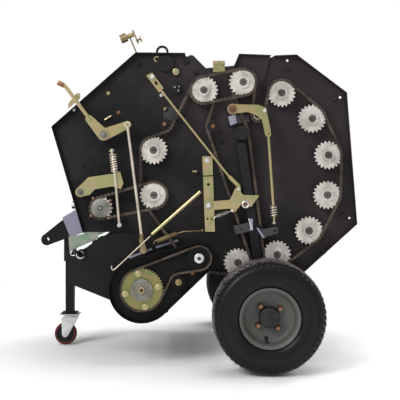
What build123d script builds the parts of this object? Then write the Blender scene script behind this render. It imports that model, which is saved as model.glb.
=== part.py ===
"""Towed mini round baler: side sheets with a ring of bale rollers, chain drive, lifting pickup, rear gate,
two road wheels and a castor jack. Millimetres, +X towards the rear gate, +Y to the machine's right side, +Z up.
The origin is on the ground under the middle of the machine's outline."""
from math import asin, atan2, cos, hypot, pi, radians, sin
from build123d import *
import os

os.makedirs("parts", exist_ok=True)

# Driving dimensions
HALF_WIDTH = 362            # outer face of the fixed side sheets
SHEET = 4                   # side sheet thickness
GATE_HALF = 352             # outer face of the gate's sheets, which nest inside the fixed ones
CHAMBER_X = 200             # centre of the ring of bale rollers
CHAMBER_Z = 776
RING_R = 364
STATIONS = 14               # equal stations round the ring
FIRST_ANGLE = 88.4          # station 0, the gate hinge roller
ROLLER_R = 40
ROLLER_RIB = 5
ROLLER_HALF = 338           # half length of a bale roller
SHAFT_R = 15
GATE_PLANE = -388           # middle of the gate's chain
FRONT_PLANE = -412          # middle of the front chains
PICKUP_PLANE = -418         # middle of the pickup's chain
CHAIN_PITCH = 15.875
SPROCKET_TEETH = 21
AXLE_X = 300
WHEEL_R = 220
WHEEL_Y = 525               # middle of each tyre
TYRE_WIDTH = 196
RIM_R = 117
JACK_X = -548
CASTOR_R = 50
CASTOR_TRAIL = 20
CROSS_SHAFT = (-363, 633)   # X, Z of the input cross shaft
PICKUP_PIVOT = (33, 432)    # X, Z of the pickup's pivot, on the starter roller's shaft
REEL = (-198, 304)          # X, Z of the tined reel
GUARD_R = 132
GUARD_NOSE_R = 64
LEVER_PIVOT = (-352, 928)
LEVER_PIN = (-255, 968)     # X, Z of the pin that carries the lift rod
ROD_FOOT = (-190, 466)      # X, Z of the lift rod's lower pin

PITCH_R = CHAIN_PITCH / (2 * sin(pi / SPROCKET_TEETH))


def station(number):
    """X, Z of a roller station, counted clockwise from the hinge roller as seen from the left side."""
    angle = radians(FIRST_ANGLE - 360 / STATIONS * number)
    return CHAMBER_X + RING_R * cos(angle), CHAMBER_Z + RING_R * sin(angle)


HINGE = station(0)
GATE_STATIONS = [station(n) for n in range(1, 7)]
LOWER_ROLLER = station(7)

# Outlines in the side view, as X, Z corners
FIXED_SHEET = [(-568, 963), (-225, 1265), (-24, 1263), (-20, 1252), (-12, 1252), (-6, 1257), (8, 1257), (61, 1204), (176, 1214),
               (196, 1261), (326, 1256), (274, 1057), (240, 1048), (240, 965), (285, 345), (139, 349), (69, 366), (-60, 385),
               (-282, 533), (-441, 533)]
GATE_SHEET = [(150, 1120), (222, 965), (270, 352), (463, 371), (678, 566), (636, 1103), (431, 1258),
              (340, 1254), (215, 1200)]
PICKUP_PLATE = [(-494, 438), (-425, 472), (-393, 496), (-363, 516), (-280, 532), (33, 496), (97, 432),
                (-70, 250), (-198, 172), (-322, 253), (-482, 318), (-505, 351)]


def at_side(shape, side):
    """The piece as drawn for the left side, or its mirror image on the right."""
    return shape if side < 0 else mirror(shape, about=Plane.XZ)


def prism(points, y_from, y_to):
    """An outline in the side view, given thickness between two Y values."""
    wire = Polyline(*[(x, 0, z) for x, z in points], close=True)
    low, high = min(y_from, y_to), max(y_from, y_to)
    return Pos(0, low, 0) * extrude(make_face(wire), amount=high - low, dir=(0, 1, 0))


def rod_y(x, z, radius, y_from, y_to, sides=0):
    """A round or many-sided bar along Y."""
    low, high = min(y_from, y_to), max(y_from, y_to)
    plane = Plane(origin=(x, low, z), x_dir=(1, 0, 0), z_dir=(0, 1, 0))
    section = Circle(radius) if sides == 0 else RegularPolygon(radius, sides)
    return extrude(plane * section, amount=high - low)


def ring_y(x, z, outer, inner, y_from, y_to):
    """A tube along Y."""
    return rod_y(x, z, outer, y_from, y_to) - rod_y(x, z, inner, min(y_from, y_to) - 1, max(y_from, y_to) + 1)


def bar(start, end, radius):
    """A round bar between two points."""
    line = Vector(*end) - Vector(*start)
    return extrude(Plane(origin=start, z_dir=line) * Circle(radius), amount=line.length)


def flat(points, radii, y_from, y_to):
    """A strap lever in the side view: the hull of circles joined one to the next."""
    low, high = min(y_from, y_to), max(y_from, y_to)
    strap = None
    for (a, ra), (b, rb) in zip(zip(points, radii), zip(points[1:], radii[1:])):
        link = prism(tangent_quad(a, ra, b, rb), low, high)
        link += rod_y(*a, ra, low, high)
        link += rod_y(*b, rb, low, high)
        strap = link if strap is None else strap + link
    return strap


def tangent_quad(a, ra, b, rb):
    """The four points where two outer tangents touch two circles."""
    dx, dz = b[0] - a[0], b[1] - a[1]
    gap = hypot(dx, dz)
    along = atan2(dz, dx)
    lean = asin((ra - rb) / gap)
    up, down = along + pi / 2 - lean, along - pi / 2 + lean
    return [(a[0] + ra * cos(up), a[1] + ra * sin(up)), (b[0] + rb * cos(up), b[1] + rb * sin(up)),
            (b[0] + rb * cos(down), b[1] + rb * sin(down)), (a[0] + ra * cos(down), a[1] + ra * sin(down))]


def edge_flange(start, end, y_from, y_to, thickness=SHEET):
    """A lip along one straight edge of an outline, inside it, between two Y values."""
    dx, dz = end[0] - start[0], end[1] - start[1]
    length = hypot(dx, dz)
    nx, nz = dz / length * thickness, -dx / length * thickness
    quad = [start, end, (end[0] + nx, end[1] + nz), (start[0] + nx, start[1] + nz)]
    return prism(quad, y_from, y_to)


def sprocket(x, z, teeth, pitch, plane_y, thickness=6, hub_r=24, hub_out=8, bore=0, bore_sides=16):
    """A toothed disc with a boss, its teeth as tapered points round the pitch circle."""
    pitch_r = pitch / (2 * sin(pi / teeth))
    root_r = pitch_r - 0.3 * pitch
    tip_r = pitch_r + 0.28 * pitch
    outline = []
    for tooth in range(teeth):
        # share of a tooth's pitch, radius
        for share, radius in ((-0.1, tip_r), (0.1, tip_r), (0.5, root_r)):
            angle = 2 * pi * (tooth + share) / teeth
            outline.append((x + radius * cos(angle), z + radius * sin(angle)))
    disc = prism(outline, plane_y - thickness / 2, plane_y + thickness / 2)
    disc += rod_y(x, z, hub_r, plane_y - thickness / 2 - hub_out, plane_y + thickness / 2 + hub_out, sides=20)
    return disc - rod_y(x, z, bore, plane_y - 60, plane_y + 60, sides=bore_sides) if bore else disc


def belt(wheels, offset):
    """The line of a chain round wheels given as (x, z, radius, turn), turn +1 inside the loop and -1 outside."""
    runs = []
    for (ax, az, ar, at), (bx, bz, br, bt) in zip(wheels, wheels[1:] + wheels[:1]):
        ra, rb = ar + offset * at, br + offset * bt
        dx, dz = bx - ax, bz - az
        gap = hypot(dx, dz)
        lean = asin((rb * bt - ra * at) / gap)
        side = atan2(dz, dx) - pi / 2 - lean
        runs.append(((ax + at * ra * cos(side), az + at * ra * sin(side)),
                     (bx + bt * rb * cos(side), bz + bt * rb * sin(side))))
    edges = []
    for number, (start, end) in enumerate(runs):
        edges.append(Line((start[0], 0, start[1]), (end[0], 0, end[1])))
        x, z, radius, turn = wheels[(number + 1) % len(wheels)]
        leave = runs[(number + 1) % len(runs)][0]
        first = atan2(end[1] - z, end[0] - x)
        last = atan2(leave[1] - z, leave[0] - x)
        swing = (last - first) % (2 * pi) if turn > 0 else -((first - last) % (2 * pi))
        reach = radius + offset * turn
        middle = first + swing / 2
        edges.append(ThreePointArc((end[0], 0, end[1]), (x + reach * cos(middle), 0, z + reach * sin(middle)),
                                   (leave[0], 0, leave[1])))
    return Wire(edges), runs


def chain(wheels, plane_y, plate_gap=8.4, plate=2.2, half_height=6.5, pin_step=6, pitch=CHAIN_PITCH):
    """A roller chain as two link-plate bands joined by pins along its straight runs."""
    outer, _ = belt(wheels, half_height)
    inner, _ = belt(wheels, -half_height)
    _, runs = belt(wheels, 0)
    ring = make_face(outer) - make_face(inner)
    near = plane_y - plate_gap / 2 - plate
    band = extrude(ring, amount=plate, dir=(0, 1, 0))
    loop = Pos(0, near, 0) * band + Pos(0, near + plate + plate_gap, 0) * band
    for start, end in runs:
        length = hypot(end[0] - start[0], end[1] - start[1])
        spare = 3.2 * pitch
        count = int((length - 2 * spare) / (pin_step * pitch)) + 1 if length > 2 * spare else 0
        for number in range(count):
            share = (spare + (length - 2 * spare) * (number + 0.5) / count) / length
            x = start[0] + share * (end[0] - start[0])
            z = start[1] + share * (end[1] - start[1])
            loop += rod_y(x, z, 4, near + 1, near + 2 * plate + plate_gap - 1, sides=6)
    return loop


def save(name, *pieces):
    """Writes one node, with like pieces kept as separate solids."""
    solids = [solid for piece in pieces for solid in piece.solids()]
    shape = solids[0] if len(solids) == 1 else Compound(children=solids)
    export_step(shape, f"parts/{name}.step")


# Side sheets of the fixed body, lipped outwards along their front, top and bottom edges
FEED_ROLLER = (-149, 685)
FIXED_ROLLERS = [HINGE, LOWER_ROLLER, PICKUP_PIVOT, FEED_ROLLER] + [station(n) for n in (11, 12, 13)]
# first corner, second corner, depth beyond the sheet's face
FIXED_LIPS = [(0, 1, 24), (1, 2, 24), (8, 9, 14), (9, 10, 14), (19, 0, 24)]

fixed_sheet = prism(FIXED_SHEET, -HALF_WIDTH, -HALF_WIDTH + SHEET)
for first, second, depth in FIXED_LIPS:
    fixed_sheet += edge_flange(FIXED_SHEET[first], FIXED_SHEET[second], -HALF_WIDTH - depth, -HALF_WIDTH + SHEET)
for x, z in FIXED_ROLLERS + [CROSS_SHAFT]:
    fixed_sheet -= rod_y(x, z, 20, -HALF_WIDTH - 5, -HALF_WIDTH + 10)
save("side_sheet_left", at_side(fixed_sheet, -1))
save("side_sheet_right", at_side(fixed_sheet, 1))

# Front hood and nose plate, one bent sheet each, between the side sheets
INSIDE = HALF_WIDTH - SHEET
hood_line = [(-566, 958), (-225, 1259), (-26, 1257), (-26, 1254), (-224, 1256), (-564, 955)]
nose_line = [(-561, 950), (-488, 700), (-450, 690), (-450, 687), (-490.5, 697.6), (-564, 950)]
save("front_covers", prism(hood_line, -INSIDE, INSIDE), prism(nose_line, -INSIDE, INSIDE))

# Tie tubes between the fixed side sheets
FIXED_TIES = [(-515, 930), (-215, 1222), (-20, 1230), (20, 1185)]     # X, Z
tie_tubes = [ring_y(x, z, 17, 13, -INSIDE, INSIDE) for x, z in FIXED_TIES]


def roller(x, z, left_end, right_end, shaft_sides=16):
    """A ribbed bale roller with its shaft, the shaft running to the given Y on each side."""
    ribs = 8
    outline = []
    for rib in range(ribs):
        middle = 2 * pi * rib / ribs
        # angle from the rib's middle, radius
        for lean, radius in ((-0.16, ROLLER_R), (-0.1, ROLLER_R + ROLLER_RIB), (0.1, ROLLER_R + ROLLER_RIB),
                             (0.16, ROLLER_R), (0.393, ROLLER_R)):
            outline.append((x + radius * cos(middle + lean), z + radius * sin(middle + lean)))
    return prism(outline, -ROLLER_HALF, ROLLER_HALF) + rod_y(x, z, SHAFT_R, -left_end, right_end, sides=shaft_sides)


# Bale rollers of the fixed body: X, Z and how far the left shaft end reaches
SHORT_END = 402
LONG_END = 424
FIXED_SHAFTS = [(HINGE, LONG_END), (LOWER_ROLLER, SHORT_END), (PICKUP_PIVOT, 438), (FEED_ROLLER, LONG_END),
                (station(11), SHORT_END), (station(12), 378), (station(13), LONG_END)]
TURNED_ON = (HINGE, PICKUP_PIVOT)     # shafts that a moving body turns on stay round
save("rollers_front", *[roller(*point, reach, 378, shaft_sides=0 if point in TURNED_ON else 16)
                        for point, reach in FIXED_SHAFTS])


def bearing(x, z, face, depth=12, flange=36, boss_r=24, boss_sides=20):
    """A round flanged bearing housing on a sheet whose outer face is at -face."""
    unit = rod_y(x, z, flange, -face - 3, -face, sides=24) + rod_y(x, z, boss_r, -face - depth, -face, sides=boss_sides)
    return unit - rod_y(x, z, SHAFT_R, -face - depth - 5, -face + 5, sides=16 if boss_sides else 0)


front_bearings = [bearing(*CROSS_SHAFT, HALF_WIDTH)]
for x, z in FIXED_ROLLERS:
    unit = bearing(x, z, HALF_WIDTH, boss_sides=0 if (x, z) in TURNED_ON else 20)
    front_bearings += [unit, at_side(unit, 1)]
save("bearings_front", *front_bearings)

# Sprockets of the fixed body: X and Z, chain plane, length of the boss on each face
FRONT_SPROCKETS = [(FEED_ROLLER, FRONT_PLANE, 8), (station(13), FRONT_PLANE, 8), (HINGE, FRONT_PLANE, 8),
                   (FEED_ROLLER, GATE_PLANE, 8), (station(11), GATE_PLANE, 8), (station(13), GATE_PLANE, 8),
                   (PICKUP_PIVOT, GATE_PLANE, 3), (LOWER_ROLLER, GATE_PLANE, 8)]
front_sprockets = [sprocket(*point, SPROCKET_TEETH, CHAIN_PITCH, plane, bore=SHAFT_R, hub_out=hub_out,
                            bore_sides=0 if point in TURNED_ON else 16)
                   for point, plane, hub_out in FRONT_SPROCKETS]

INPUT_TEETH = 17
INPUT_R = CHAIN_PITCH / (2 * sin(pi / INPUT_TEETH))
save("sprockets_front", *front_sprockets,
     sprocket(*CROSS_SHAFT, INPUT_TEETH, CHAIN_PITCH, FRONT_PLANE, hub_r=34, hub_out=10, bore=SHAFT_R))

# Idlers: X, Z, radius of the chain round them
IDLERS = {"main_lower": (89, 964, 26), "main_upper": (-107, 972, 30), "gate_upper": (206, 936, 28),
          "gate_rear": (271, 1009, 25), "pickup_lower": (-50, 336, 34)}


def idler(x, z, wheel_r, face, plane_y=GATE_PLANE):
    """A plain idler wheel on its stub, standing off a sheet whose outer face is at -face."""
    return rod_y(x, z, wheel_r, plane_y - 6, plane_y + 6, sides=24) + rod_y(x, z, 9, plane_y - 10, -face, sides=12)


HEAD_FACE = 372             # outer face of the flat head of the axle legs
save("idlers_front", idler(89, 964, 19, HALF_WIDTH), idler(-107, 972, 23, HALF_WIDTH),
     idler(206, 936, 16, HEAD_FACE) + rod_y(206, 936, 28, -408, -400, sides=24))


def on(point, turn=1, radius=PITCH_R):
    """One wheel of a chain's path."""
    return (point[0], point[1], radius, turn)


def off(name):
    """One idler of a chain's path, outside the loop."""
    x, z, radius = IDLERS[name]
    return (x, z, radius, -1)


save("chain_main", chain([on(FEED_ROLLER), on(PICKUP_PIVOT), on(LOWER_ROLLER), off("main_lower"),
                          on(station(13)), off("main_upper"), on(station(11))], GATE_PLANE))
save("chains_outer", chain([on(station(13)), on(HINGE)], FRONT_PLANE),
     chain([on(CROSS_SHAFT, radius=INPUT_R), on(FEED_ROLLER)], FRONT_PLANE))

# Drawbar: two plates joined by spacers, bored at the front for the tractor's cross pin
HITCH = (-648, 478)
HITCH_R = 11
DRAWBAR_IN = 30
DRAWBAR_OUT = 38
arm_outline = [(-665, 497), (-508, 622), (-468, 622), (-430, 572), (-300, 572), (-300, 530), (-494, 507),
               (-585, 474), (-642, 453)]
arm = prism(arm_outline, -DRAWBAR_OUT, -DRAWBAR_IN) + rod_y(*HITCH, 26, -DRAWBAR_OUT, -DRAWBAR_IN)
arm -= rod_y(*HITCH, HITCH_R, -DRAWBAR_OUT - 5, -DRAWBAR_IN + 5)
spacer = rod_y(-470, 545, 20, -DRAWBAR_IN, DRAWBAR_IN, sides=16)
save("drawbar", at_side(arm, -1) + at_side(arm, 1) + spacer)
cheek = prism([(-578, 577), (-532, 604), (-508, 622), (-440, 600), (-430, 530), (-487, 508), (-543, 490)],
              -DRAWBAR_OUT - 5, -DRAWBAR_OUT)
save("drawbar_cheeks", at_side(cheek, -1), at_side(cheek, 1))

# Brackets that reach forward from the side sheets over the pickup
bracket = prism([(-502, 513), (-440, 525), (-430, 560), (-380, 560), (-380, 510), (-396, 498), (-462, 470),
                 (-497, 446)], -INSIDE, -INSIDE + 3)
save("front_brackets", at_side(bracket, -1), at_side(bracket, 1))
beam = Pos(-270, 0, 567.5) * Box(60, 2 * INSIDE, 65)
beam += Pos(-295, 0, 645) * Box(10, 150, 90)
save("frame_ties", beam, *tie_tubes)

# Gearbox with its input stub for the tractor's shaft, and the cross shaft to the left side
GEARBOX_X = -365
PTO_R = 17.45
PTO_END = -540
case = chamfer(Box(130, 116, 116).edges(), 10)
gearbox = Pos(GEARBOX_X, 0, CROSS_SHAFT[1] + 5) * case
gearbox += Pos(-425, 0, CROSS_SHAFT[1]) * Rot(0, -90, 0) * Cylinder(38, 40, align=(Align.CENTER,) * 3)
gearbox += rod_y(*CROSS_SHAFT, 34, -76, -50, sides=24)
save("gearbox", gearbox)
save("drive_shafts", bar((-445, 0, CROSS_SHAFT[1]), (PTO_END, 0, CROSS_SHAFT[1]), PTO_R),
     rod_y(*CROSS_SHAFT, SHAFT_R, -430, -76, sides=16))

# Axle: a square beam under the gate, a leg up each side sheet and a stub for each wheel
LEG_TOP = (202, 895)
LEG_WIDE = 18               # half the leg's width in the side view
BEAM_HALF = 30
AXLE_Z = WHEEL_R
foot_z = AXLE_Z + BEAM_HALF
leg_outline = [(AXLE_X - 7 - LEG_WIDE, foot_z), (AXLE_X - 7 + LEG_WIDE, foot_z),
               (LEG_TOP[0] + LEG_WIDE, LEG_TOP[1]), (LEG_TOP[0] - LEG_WIDE, LEG_TOP[1])]
leg = prism(leg_outline, -412, -HALF_WIDTH)
leg += prism([(220, 895), (210, 960), (174, 960), (184, 895)], -HEAD_FACE, -HALF_WIDTH)
save("axle_legs", at_side(leg, -1), at_side(leg, 1))
axle = Pos(AXLE_X, 0, AXLE_Z) * Box(2 * BEAM_HALF, 824, 2 * BEAM_HALF)
axle += rod_y(AXLE_X, AXLE_Z, 19, -545, 545)
save("axle_beam", axle)


def turned(profile, middle_y):
    """A ring about the axle, turned from (Y beyond the wheel's middle, radius) corners."""
    wire = Polyline(*[(AXLE_X, middle_y + y, AXLE_Z + r) for y, r in profile], close=True)
    return revolve(make_face(wire), axis=Axis((AXLE_X, 0, AXLE_Z), (0, 1, 0)))


# Road wheels: Y outwards from the tyre's middle, radius
BEAD_R = 102
tyre_profile = [(-80, BEAD_R), (80, BEAD_R), (80, 118.5), (90, 124), (97, 146), (98, 170), (92, 196), (76, 211), (40, 218),
                (0, WHEEL_R), (-40, 218), (-76, 211), (-92, 196), (-98, 170), (-97, 146), (-90, 124), (-80, 118.5)]
rim_profile = [(-86, RIM_R), (-82, RIM_R), (-80, BEAD_R), (80, BEAD_R), (82, RIM_R), (86, RIM_R), (84, BEAD_R - 4),
               (46, BEAD_R - 4), (40, 66), (30, 60), (30, 36), (25, 36), (25, 62), (34, 70), (38, BEAD_R - 4),
               (-84, BEAD_R - 4)]
hub_profile = [(-70, 22), (-70, 40), (-20, 40), (-20, 46), (25, 46), (25, 36), (30, 36), (30, 38), (62, 36),
               (68, 20), (68, 0), (26, 0), (26, 20), (-70, 20)]
tyre = turned([(-y, r) for y, r in tyre_profile], -WHEEL_Y)
rim = turned([(-y, r) for y, r in rim_profile], -WHEEL_Y)
hub = turned([(-y, r) for y, r in hub_profile], -WHEEL_Y)
for name, side in (("left", -1), ("right", 1)):
    save(f"tyre_{name}", at_side(tyre, side))
    save(f"rim_{name}", at_side(rim, side))
    save(f"hub_{name}", at_side(hub, side))

# Jack: sleeve on the drawbar, square inner tube sliding in it, castor fork and wheel under it
SLEEVE_LOW = 380
SLEEVE_TOP = 540
JACK_HALF = 19
CASTOR_X = JACK_X - CASTOR_TRAIL
sleeve_middle = (SLEEVE_LOW + SLEEVE_TOP) / 2
sleeve_tall = SLEEVE_TOP - SLEEVE_LOW
sleeve = Pos(JACK_X, 0, sleeve_middle) * (Box(50, 50, sleeve_tall) - Box(39, 39, sleeve_tall + 2))
packer = Pos(JACK_X, 0, 515) * (Box(40, 2 * DRAWBAR_IN, 50) - Box(48, 49, 52))
save("jack_sleeve", sleeve + packer)
tube_low, tube_top = 148, 455
jack_tube = Pos(JACK_X, 0, (tube_low + tube_top) / 2) * Box(2 * JACK_HALF, 2 * JACK_HALF, tube_top - tube_low)
jack_tube += Pos(JACK_X, 0, 145) * Box(70, 60, 6)
jack_tube -= Pos(JACK_X, 0, 150) * Cylinder(8.5, 40)
save("jack_tube", jack_tube)
fork = Pos(JACK_X, 0, 131) * Cylinder(32, 6) + Pos(JACK_X, 0, 146) * Cylinder(8, 24)
for leg_y in (-23, 23):
    fork += flat([(JACK_X - 4, 112), (CASTOR_X, CASTOR_R)], [20, 14], leg_y - 2, leg_y + 2)
fork += rod_y(CASTOR_X, CASTOR_R, 6, -32, 32)
save("castor_fork", fork - Pos(JACK_X, 0, 100) * Box(120, 41.9, 56))
tread_r = 34
castor = rod_y(CASTOR_X, CASTOR_R, CASTOR_R, -16, 16)
castor = chamfer(castor.edges(), 5)
save("castor_tyre", castor - rod_y(CASTOR_X, CASTOR_R, tread_r, -20, 20, sides=24))
save("castor_hub", rod_y(CASTOR_X, CASTOR_R, tread_r, -14, 14, sides=24) - rod_y(CASTOR_X, CASTOR_R, 6.5, -20, 20))

# Rear gate: two sheets lipped along their outer edges, six bale rollers and the ties between the sheets
GATE_BORE_R = SHAFT_R + 0.5
gate_sheet = prism(GATE_SHEET, -GATE_HALF, -GATE_HALF + SHEET) + rod_y(*HINGE, 80, -GATE_HALF, -GATE_HALF + SHEET)
GATE_LIPS = [((305, 355), GATE_SHEET[3]), (GATE_SHEET[3], GATE_SHEET[4]), (GATE_SHEET[4], GATE_SHEET[5]),
             (GATE_SHEET[5], GATE_SHEET[6]), (GATE_SHEET[6], GATE_SHEET[7])]
for start, end in GATE_LIPS:
    gate_sheet += edge_flange(end, start, -GATE_HALF - 24, -GATE_HALF + SHEET)
for x, z in GATE_STATIONS:
    gate_sheet -= rod_y(x, z, 20, -GATE_HALF - 5, -GATE_HALF + 10)
for x, z in ((395, 1236), (612, 1085), (650, 590), (462, 392)):
    gate_sheet -= rod_y(x, z, 7, -GATE_HALF - 5, -GATE_HALF + 10)
gate_sheet -= rod_y(*HINGE, GATE_BORE_R, -GATE_HALF - 5, -GATE_HALF + 10)
save("gate_sheet_left", at_side(gate_sheet, -1))
save("gate_sheet_right", at_side(gate_sheet, 1))
save("rollers_gate", *[roller(x, z, SHORT_END, 370) for x, z in GATE_STATIONS])
gate_bearings = []
for number, (x, z) in enumerate(GATE_STATIONS):
    unit = bearing(x, z, GATE_HALF, flange=25 if number == 0 else 36)
    gate_bearings += [unit, at_side(unit, 1)]
save("bearings_gate", *gate_bearings)
gate_sprockets = [sprocket(x, z, SPROCKET_TEETH, CHAIN_PITCH, GATE_PLANE, bore=SHAFT_R) for x, z in GATE_STATIONS]
save("sprockets_gate", *gate_sprockets, idler(271, 1009, 18, GATE_HALF),
     sprocket(*HINGE, SPROCKET_TEETH, CHAIN_PITCH, GATE_PLANE, hub_out=4, bore=GATE_BORE_R, bore_sides=0))
gate_run = [on(HINGE), off("gate_upper")] + [on(point) for point in GATE_STATIONS[::-1]] + [off("gate_rear")]
save("chain_gate", chain(gate_run, GATE_PLANE, half_height=6))
GATE_TIES = [(395, 1205), (585, 1078), (622, 600), (540, 455)]     # X, Z
GATE_IN = GATE_HALF - SHEET
save("gate_ties", *[ring_y(x, z, 17, 13, -GATE_IN, GATE_IN) for x, z in GATE_TIES])

# Pickup: end plates pivoting on the starter roller's bearings, stripper bands between two cross tubes
PLATE_IN = 370
PLATE_OUT = 374
REEL_SHAFT_R = 14
plate = prism(PICKUP_PLATE, -PLATE_OUT, -PLATE_IN) + flat([REEL, PICKUP_PIVOT], [120, GUARD_NOSE_R], -PLATE_OUT,
                                                         -PLATE_IN)
plate += ring_y(-446, 448, 17, 10, -PLATE_OUT - 22, -PLATE_OUT) + ring_y(-473, 453, 10, 6, -PLATE_OUT - 14, -PLATE_OUT)
plate += rod_y(*REEL, 36, -PLATE_OUT - 8, -PLATE_OUT)
plate -= rod_y(*REEL, REEL_SHAFT_R + 0.5, -PLATE_OUT - 20, -PLATE_IN + 5)
plate -= rod_y(*PICKUP_PIVOT, 24.5, -PLATE_OUT - 20, -PLATE_IN + 5)
LIFT_PIN_R = 7
lift_pin = rod_y(*ROD_FOOT, LIFT_PIN_R, -446, -PLATE_OUT) + rod_y(*ROD_FOOT, 12, -424, -PLATE_OUT)
save("pickup_plate_left", plate + lift_pin)
save("pickup_plate_right", at_side(plate, 1))

BAND_R = 101
BAND_PITCH = 70
BAND_WIDE = 50
UPPER_TUBE = (-75, 372)
LOWER_TUBE = (-100, 212)
outer_line = [(REEL[0] + BAND_R * cos(radians(a)), REEL[1] + BAND_R * sin(radians(a))) for a in range(85, 276, 19)]
inner_line = [(REEL[0] + (BAND_R - 3) * cos(radians(a)), REEL[1] + (BAND_R - 3) * sin(radians(a)))
              for a in range(85, 276, 19)]
band_line = [(UPPER_TUBE[0], UPPER_TUBE[1] + 6)] + outer_line + [(LOWER_TUBE[0], LOWER_TUBE[1] - 5)]
band_line += [(LOWER_TUBE[0], LOWER_TUBE[1] - 2)] + inner_line[::-1] + [(UPPER_TUBE[0], UPPER_TUBE[1] + 3)]
bands = rod_y(*UPPER_TUBE, 9, -PLATE_IN, PLATE_IN) + rod_y(*LOWER_TUBE, 8, -PLATE_IN, PLATE_IN)
for number in range(9):
    middle = (number - 4) * BAND_PITCH
    bands += prism(band_line, middle - BAND_WIDE / 2, middle + BAND_WIDE / 2)
save("pickup_bands", bands)

# Chain guard: an open-faced dish round the reel's chain, standing off the left end plate
GUARD_BACK = -400
GUARD_RIM = -438
dish = flat([REEL, PICKUP_PIVOT], [GUARD_R, GUARD_NOSE_R], GUARD_RIM, GUARD_BACK)
dish -= flat([REEL, PICKUP_PIVOT], [GUARD_R - 3, GUARD_NOSE_R - 3], GUARD_RIM - 5, GUARD_BACK - 3)
dish -= rod_y(*REEL, 30, GUARD_RIM, GUARD_BACK + 5)
dish -= rod_y(*PICKUP_PIVOT, 22, GUARD_RIM, GUARD_BACK + 5)
for x, z in ((-290, 304), (-205, 400), (-225, 208)):
    dish += rod_y(x, z, 8, GUARD_BACK, -PLATE_OUT)
save("pickup_guard", dish)

REEL_TEETH = 42
NOSE_TEETH = 24
PICKUP_PITCH = 12.7
REEL_R = PICKUP_PITCH / (2 * sin(pi / REEL_TEETH))
NOSE_R = PICKUP_PITCH / (2 * sin(pi / NOSE_TEETH))
nose_sprocket = sprocket(*PICKUP_PIVOT, NOSE_TEETH, PICKUP_PITCH, PICKUP_PLANE, thickness=5, hub_r=22, hub_out=3,
                         bore=GATE_BORE_R, bore_sides=0)
save("pickup_drive", nose_sprocket, idler(-50, 336, 28, -GUARD_BACK + 3, plane_y=PICKUP_PLANE))
save("chain_pickup", chain([on(REEL, radius=REEL_R), off("pickup_lower"), on(PICKUP_PIVOT, radius=NOSE_R)],
                           PICKUP_PLANE, plate_gap=7.4, plate=1.6, half_height=5, pitch=PICKUP_PITCH))

# Tined reel with its big sprocket
TINE_REACH = 120
BAR_ON = 75
reel = rod_y(*REEL, 28, -330, 330, sides=24) + rod_y(*REEL, REEL_SHAFT_R, -432, PLATE_OUT + 4)
for y in (-328, 0, 328):
    reel += rod_y(*REEL, 86, y - 2, y + 2, sides=24)
for quarter in range(4):
    lean = radians(90 * quarter + 45)
    bar_x = REEL[0] + BAR_ON * cos(lean)
    bar_z = REEL[1] + BAR_ON * sin(lean)
    reel += rod_y(bar_x, bar_z, 9, -330, 330, sides=8)
    for number in range(8):
        y = (number - 3.5) * BAND_PITCH
        tip = (REEL[0] + TINE_REACH * cos(lean), y, REEL[1] + TINE_REACH * sin(lean))
        tine_plane = Plane(origin=(bar_x, y, bar_z), z_dir=(cos(lean), 0, sin(lean)))
        reel += extrude(tine_plane * RegularPolygon(3.5, 6), amount=TINE_REACH - BAR_ON)
save("reel_tines", reel)
reel_sprocket = sprocket(*REEL, REEL_TEETH, PICKUP_PITCH, PICKUP_PLANE, thickness=5, hub_r=45, hub_out=4,
                         bore=REEL_SHAFT_R, bore_sides=0)
for quarter in range(4):
    lean = radians(90 * quarter + 12)
    reel_sprocket += rod_y(REEL[0] + 68 * cos(lean), REEL[1] + 68 * sin(lean), 8, PICKUP_PLANE - 9, PICKUP_PLANE,
                           sides=6)
save("reel_sprocket", reel_sprocket)

# Lift lever: a bell crank turning on a stub, its handle reaching up and forward
LEVER_Y = -414              # middle of the lever's plate
ROD_Y = -434                # middle of the lift rod
STUB_R = 12
lever_stub = rod_y(*LEVER_PIVOT, STUB_R, -430, -HALF_WIDTH)
lever = flat([(-410, 992), LEVER_PIVOT, LEVER_PIN], [15, 24, 15], LEVER_Y - 4, LEVER_Y + 4)
lever += ring_y(*LEVER_PIVOT, 22, STUB_R, -428, -400)
lever -= rod_y(*LEVER_PIVOT, STUB_R + 0.4, -440, -380)
lever += rod_y(*LEVER_PIN, LIFT_PIN_R, -446, LEVER_Y)
HANDLE_BEND = (-506, LEVER_Y, 1124)
lever += bar((-404, LEVER_Y, 985), HANDLE_BEND, 8) + bar(HANDLE_BEND, (-534, LEVER_Y, 1138), 10)
lever += Pos(*HANDLE_BEND) * Sphere(8)
save("lift_lever", lever)
FOOT_SLOT_R = 12.5
rod = bar((LEVER_PIN[0], ROD_Y, LEVER_PIN[1]), (ROD_FOOT[0], ROD_Y, ROD_FOOT[1]), 6.5)
rod += rod_y(*LEVER_PIN, 14, ROD_Y - 6, ROD_Y + 6) + rod_y(*ROD_FOOT, 19, ROD_Y - 6, ROD_Y + 6)
rod -= rod_y(*LEVER_PIN, LIFT_PIN_R + 0.4, ROD_Y - 20, ROD_Y + 20)
rod -= rod_y(*ROD_FOOT, FOOT_SLOT_R, ROD_Y - 20, ROD_Y + 20)
save("lift_rod", rod)
quadrant = prism([(-498, 1036), (-450, 1078), (-450, 1098), (-464, 1098), (-498, 1056)], -392, -387)
save("lever_quadrant", quadrant)

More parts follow.
